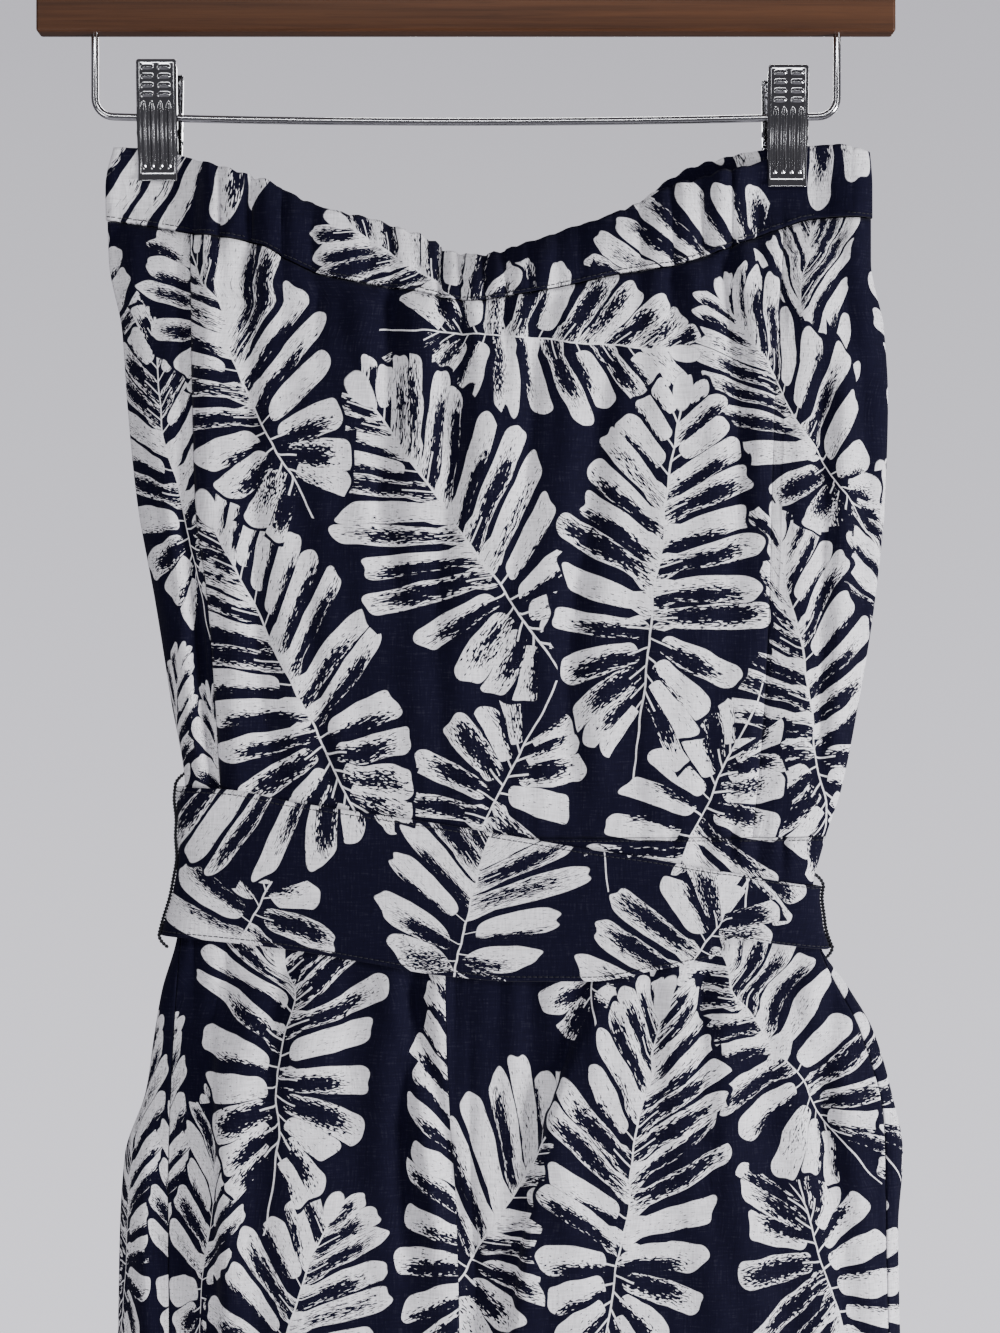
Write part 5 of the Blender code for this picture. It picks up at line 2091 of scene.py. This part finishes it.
    def build(self) -> list[Piece]:
        """Make both clips; their springs keep the shape of the solids.

        Returns:
            The four jaws and the two springs.
        """
        jaw = self.jaw()
        inward, rise = self.back_shift
        made = []
        for side, head in self.heads.items():
            middle = CLIP_PLACES[side][0]
            front = self.copy(jaw, f"clip_jaw_front_{side.label}", middle, head, False)
            made.append(settle(front, self.finishes.chrome, "chrome", f"clip_{side.label}_front"))
            back = self.copy(jaw, f"clip_jaw_back_{side.label}", middle - side.value * inward, head + rise, True)
            made.append(settle(back, self.finishes.chrome, "chrome", f"clip_{side.label}_back"))
            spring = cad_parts[f"clip_{side.label}_spring"]
            spring.data.materials.clear()
            spring.data.materials.append(self.finishes.steel)
            made.append(spring)
        bpy.data.objects.remove(jaw)
        return made


# ---------------- sewing


@dataclass
class Sewing:
    """Rows of lockstitch, and the twisted thread loops that hold the belt."""

    finishes: Finishes
    waist: Waist
    pitch: float = 2.7  # from one stitch to the next
    stitch: float = 2.1  # the length that shows
    thread: float = 0.26  # radius
    dip: float = 0.16  # of a stitch's ends into the cloth
    clearance: float = 0.1  # from the face of the cloth to the middle of the thread
    edge: float = 0.02  # angle without stitches at each side seam
    loop_ply: float = 0.55  # radius
    loop_pitch: float = 3.4  # from one turn of the plies to the next
    loop_at: ClassVar[dict[Side, float]] = {Side.LEFT: 0.2197, Side.RIGHT: 0.6834}  # places along the belt
    loop_past: float = 0.09  # how far a loop goes past the belt's edges, as a share of the belt's height
    loop_inward: float = 4.6  # how far its ends lean in

    def one_stitch(self) -> tuple[Array, list[list[int]]]:
        """A single stitch: a short thread that dips into the cloth at both ends.

        Returns:
            Its points, run along X with Z up, and its faces.
        """
        bpy.ops.object.select_all(action="DESELECT")
        bpy.ops.mesh.primitive_cylinder_add(
            vertices=6, radius=self.thread * MM, depth=self.stitch * MM, rotation=(0, math.pi / 2, 0)
        )
        piece = lay_down("one_stitch")
        open_up(piece)
        reach = self.stitch / 2 - 0.1
        pick(piece, "FACE", lambda place, way: abs(place.x) > reach)
        bpy.ops.mesh.bevel(offset=0.14 * MM, segments=1, affect="EDGES")
        pick(piece, "VERT", lambda place, way: abs(place.x) > reach)
        bpy.ops.transform.translate(**shift(0, 0, -self.dip))
        bpy.ops.object.mode_set(mode="OBJECT")
        points = np.array([corner.co[:] for corner in piece.data.vertices]) / MM
        faces = [list(face.vertices) for face in piece.data.polygons]
        bpy.data.objects.remove(piece)
        return points, faces

    def row(self, points: Array, outward: Array) -> tuple[Array, Array, Array]:
        """Lay the stitches of one row.

        Args:
            points: Points along the row.
            outward: The cloth's outward way at each.

        Returns:
            Places, headings and outward ways, one entry a stitch.
        """
        run = run_along(points)
        at = np.arange(self.pitch, run[-1] - self.pitch / 2, self.pitch)
        near = 0.8
        heading = unit(self.read(points, run, at + near) - self.read(points, run, at - near))
        return self.read(points, run, at), heading, squared(self.read(outward, run, at), heading)

    @staticmethod
    def read(values: Array, run: Array, places: Array) -> Array:
        """Points or ways of a row, whose lengths along it are run, at other places along it."""
        return np.stack([np.interp(places, run, column) for column in values.T], axis=-1)

    @staticmethod
    def on_surface(surface: Surface, u: Array, v: Array, lift: float) -> tuple[Array, Array]:
        """Find points over the outer face of a cloth.

        Args:
            surface: The middle of the cloth.
            u: Places across it.
            v: Places down it.
            lift: From its middle to the points.

        Returns:
            The points, and the cloth's outward ways there.
        """
        points, normal = surface(u, v), normals_of(surface, u, v, 2e-3)
        normal *= np.where(outwardness(points, normal) < 0, -1.0, 1.0)[:, None]
        return points + normal * lift, normal

    def sew(self, name: str, rows: list[tuple[Array, Array]]) -> Piece:
        """Join all stitches of some rows into one piece.

        Args:
            name: The piece's name.
            rows: Points along each row, and the cloth's outward ways there.

        Returns:
            The piece.
        """
        shape, faces = self.one_stitch()
        places, headings, ups = (np.concatenate(parts) for parts in zip(*(self.row(*row) for row in rows)))
        sides = np.cross(ups, headings)
        axes = np.stack([headings, sides, ups], axis=1)
        points = (places[:, None, :] + np.einsum("pk,skc->spc", shape, axes)).reshape(-1, 3) * MM
        joined = [[i + k * len(shape) for i in face] for k in range(len(places)) for face in faces]
        mesh = bpy.data.meshes.new(name)
        mesh.from_pydata(points.tolist(), [], joined)
        mesh.polygons.foreach_set("use_smooth", np.ones(len(joined), bool))
        piece = bpy.data.objects.new(name, mesh)
        bpy.context.scene.collection.objects.link(piece)
        return settle(piece, self.finishes.thread, "black_thread")

    def hem(self, side: Side, u: Array, v: Array) -> Array:
        """A point of a leg's lowest 40 mm, up from its edge."""
        return leg_point(side, between(0.03, 2 * math.pi - 0.03, u), between(HEM_Z, HEM_Z + 40, v))

    def topstitching(self) -> list[Piece]:
        """Sew the rows at the band, the casing, the belt's edges and the hems.

        Returns:
            A piece for each.
        """
        t = np.linspace(0.0, 1.0, 900)
        halves = [Half(face, self.edge) for face in Face]
        casings = [partial(half.casing, WAIST_TOP + 6, WAIST_TOP - 14) for half in halves]
        belt, over_belt = self.waist.belt_point, self.waist.belt_shell / 2 + self.clearance
        over_band, over_hem = CASING_SHELL / 2 + self.clearance, HEM_SHELL / 2 + self.clearance
        over_waist = SHELL / 2 + self.clearance
        return [
            self.sew("stitches_band", [self.on_surface(half.band, t, 0 * t + 0.955, over_band) for half in halves]),
            self.sew("stitches_waist", [self.on_surface(casing, t, 0 * t + 0.38, over_waist) for casing in casings]),
            self.sew("stitches_belt", [
                self.on_surface(belt, between(0.004, 0.996, t), 0 * t + v, over_belt) for v in (0.03, 0.97)
            ]),
            self.sew("stitches_hem", [
                self.on_surface(partial(self.hem, side), t, 0 * t + HEM_DEPTH / 40, over_hem) for side in Side
            ]),
        ]

    def loop_path(self, side: Side) -> tuple[Array, Array]:
        """Lead a belt loop over the belt, with both ends let into the cloth above and below it.

        Args:
            side: Which loop.

        Returns:
            Points along it from the top, and the belt's outward ways there.
        """
        down = np.linspace(-self.loop_past, 1 + self.loop_past, 150)
        flat = np.clip(down, 0.0, 1.0)
        lift = self.waist.belt_shell / 2 + self.loop_ply * 1.9
        points, outward = self.on_surface(self.waist.belt_point, 0 * flat + self.loop_at[side], flat, lift)
        past = np.clip(np.abs(down - 0.5) - 0.5, 0, 1) / self.loop_past
        points[:, 2] -= (down - flat) * 72.0
        points[:, 0] -= side.value * past**2 * self.loop_inward
        return points, outward

    def loop(self, side: Side) -> Piece:
        """Twist one belt loop from two plies of thick thread.

        Args:
            side: Which loop.

        Returns:
            The loop.
        """
        points, outward = self.loop_path(side)
        heading = unit(np.gradient(points, axis=0))
        outward = squared(outward, heading)
        beside = np.cross(heading, outward)
        around = np.linspace(0, 2 * math.pi, 9)[:-1][None, :, None]
        ring = (outward[:, None] * np.cos(around) + beside[:, None] * np.sin(around)) * self.loop_ply
        count, sides = ring.shape[:2]
        tubes, faces = [], []
        for ply in range(2):
            turn = (run_along(points) / self.loop_pitch * 2 + ply)[:, None] * math.pi
            axis = points + (outward * np.cos(turn) + beside * np.sin(turn)) * self.loop_ply * 0.9
            tubes.append((axis[:, None] + ring).reshape(-1, 3))
            corner = np.arange(count * sides).reshape(count, sides) + ply * count * sides
            onward = np.roll(corner, -1, axis=1)
            walls = np.stack([corner[:-1], onward[:-1], onward[1:], corner[1:]], axis=-1).reshape(-1, 4)
            faces += walls.tolist() + [corner[0, ::-1].tolist(), corner[-1].tolist()]
        mesh = bpy.data.meshes.new(f"thread_loop_{side.label}")
        mesh.from_pydata((np.concatenate(tubes) * MM).tolist(), [], faces)
        piece = bpy.data.objects.new(mesh.name, mesh)
        bpy.context.scene.collection.objects.link(piece)
        face_outwards(piece)
        bpy.ops.object.shade_smooth_by_angle(angle=math.radians(60))
        return settle(piece, self.finishes.thread, "black_thread", f"belt_loop_{side.label}")

    def build(self) -> list[Piece]:
        """All stitches and both loops."""
        return [*self.topstitching(), *(self.loop(side) for side in Side)]


# ---------------- studio


@dataclass
class Studio:
    """Pale floor, soft lights and the camera."""

    floor_z: float = -1.02
    floor_radius: float = 0.9
    distance: float = 1.4
    middle: Pair = (0.017, -0.42425)  # x and z that the camera is level with
    frame_height: float = 0.6665  # metres that fill the picture's height at the garment's middle
    glow: float = 0.2
    wall: Pair = (1.76, 0.98)  # brightness low down and high up: painted shade that darkens the backdrop upwards
    air: str = "#d2d0d9"
    backdrop: str = "#d8d6df"

    def camera(self) -> None:
        """A level camera in front of the garment."""
        data = bpy.data.cameras.new("camera")
        data.sensor_width = 36.0
        data.lens = data.sensor_width * self.distance / self.frame_height
        camera = bpy.data.objects.new("camera", data)
        camera.location = (self.middle[0], -self.distance, self.middle[1])
        camera.rotation_euler = (math.pi / 2, 0.0, 0.0)
        bpy.context.scene.collection.objects.link(camera)
        bpy.context.scene.camera = camera

    def lamp(self, name: str, place: tuple[float, float, float], size: Pair, power: float) -> None:
        """Hang a soft light that faces the garment.

        Args:
            name: Its name.
            place: Where it hangs, in metres.
            size: How wide and how high it is, in metres.
            power: Its power in watts.
        """
        data = bpy.data.lights.new(name, "AREA")
        data.shape = "RECTANGLE"
        data.size, data.size_y = size
        data.energy = power
        lamp = bpy.data.objects.new(name, data)
        lamp.location = place
        target = np.array([self.middle[0], 0.0, self.middle[1]])
        way = target - np.array(place)
        lamp.rotation_euler = (math.atan2(math.hypot(way[0], way[1]), -way[2]), 0.0, math.atan2(-way[0], way[1]))
        bpy.context.scene.collection.objects.link(lamp)

    def surroundings(self) -> None:
        """An even glow all round, and a pale wall far behind, seen only by the camera, with painted shade that darkens
        it a little upwards.
        """
        world = bpy.data.worlds.new("studio")
        bpy.context.scene.world = world
        world.use_nodes = True
        tree = world.node_tree
        glow = tree.nodes["Background"]
        plug(glow, {"Color": linear(self.air), "Strength": self.glow})
        way = add(tree, "ShaderNodeTexCoord").outputs["Generated"]
        height = add(tree, "ShaderNodeSeparateXYZ", {0: way}).outputs[2]
        tone = add(tree, "ShaderNodeMapRange", {0: height, 1: -0.24, 2: 0.24, 3: self.wall[0], 4: self.wall[1]})
        wall = add(tree, "ShaderNodeBackground", {"Color": linear(self.backdrop), "Strength": tone})
        seen = add(tree, "ShaderNodeLightPath").outputs["Is Camera Ray"]
        plug(tree.nodes["World Output"], {"Surface": add(tree, "ShaderNodeMixShader", {0: seen, 1: glow, 2: wall})})

    def lamps(self) -> None:
        """A key light low at the right, a weak fill, strips for the metal to mirror, and a light behind."""
        self.lamp("key_light", (2.5, -1.15, -1.0), (0.7, 0.7), 112.0)
        self.lamp("fill_light", (-1.3, -1.6, -1.0), (0.8, 0.8), 11.0)
        self.lamp("top_strip_light", (0.0, -1.9, 0.75), (1.3, 0.16), 12.0)
        self.lamp("right_strip_light", (1.6, -1.9, 0.3), (0.14, 1.0), 8.0)
        self.lamp("left_strip_light", (-1.5, -1.9, 0.3), (0.14, 1.0), 4.0)
        self.lamp("back_light", (0.4, 2.2, 0.7), (1.2, 1.2), 60.0)

    def floor(self) -> None:
        """A round of painted floor."""
        bpy.ops.object.select_all(action="DESELECT")
        place = (0, 0, self.floor_z)
        bpy.ops.mesh.primitive_circle_add(vertices=96, radius=self.floor_radius, fill_type="NGON", location=place)
        floor = lay_down("floor")
        floor.data.materials.append(StudioPaint().build())

    def build(self) -> None:
        """Set the stage."""
        self.camera()
        self.lamps()
        self.surroundings()
        self.floor()


def main() -> None:
    """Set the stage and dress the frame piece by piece."""
    logging.basicConfig(level=logging.INFO, format="%(message)s")
    Studio().build()
    finishes = Finishes()
    waist = Waist(finishes)
    for made_of in (
        Bodice(finishes, Girth()), waist, Shorts(finishes), Hanger(finishes), Clips(finishes), Sewing(finishes, waist),
    ):
        for piece in made_of.build():
            LOG.info("%s: %s, %d faces", type(made_of).__name__, piece.name, len(piece.data.polygons))


if __name__ == "__main__":
    main()
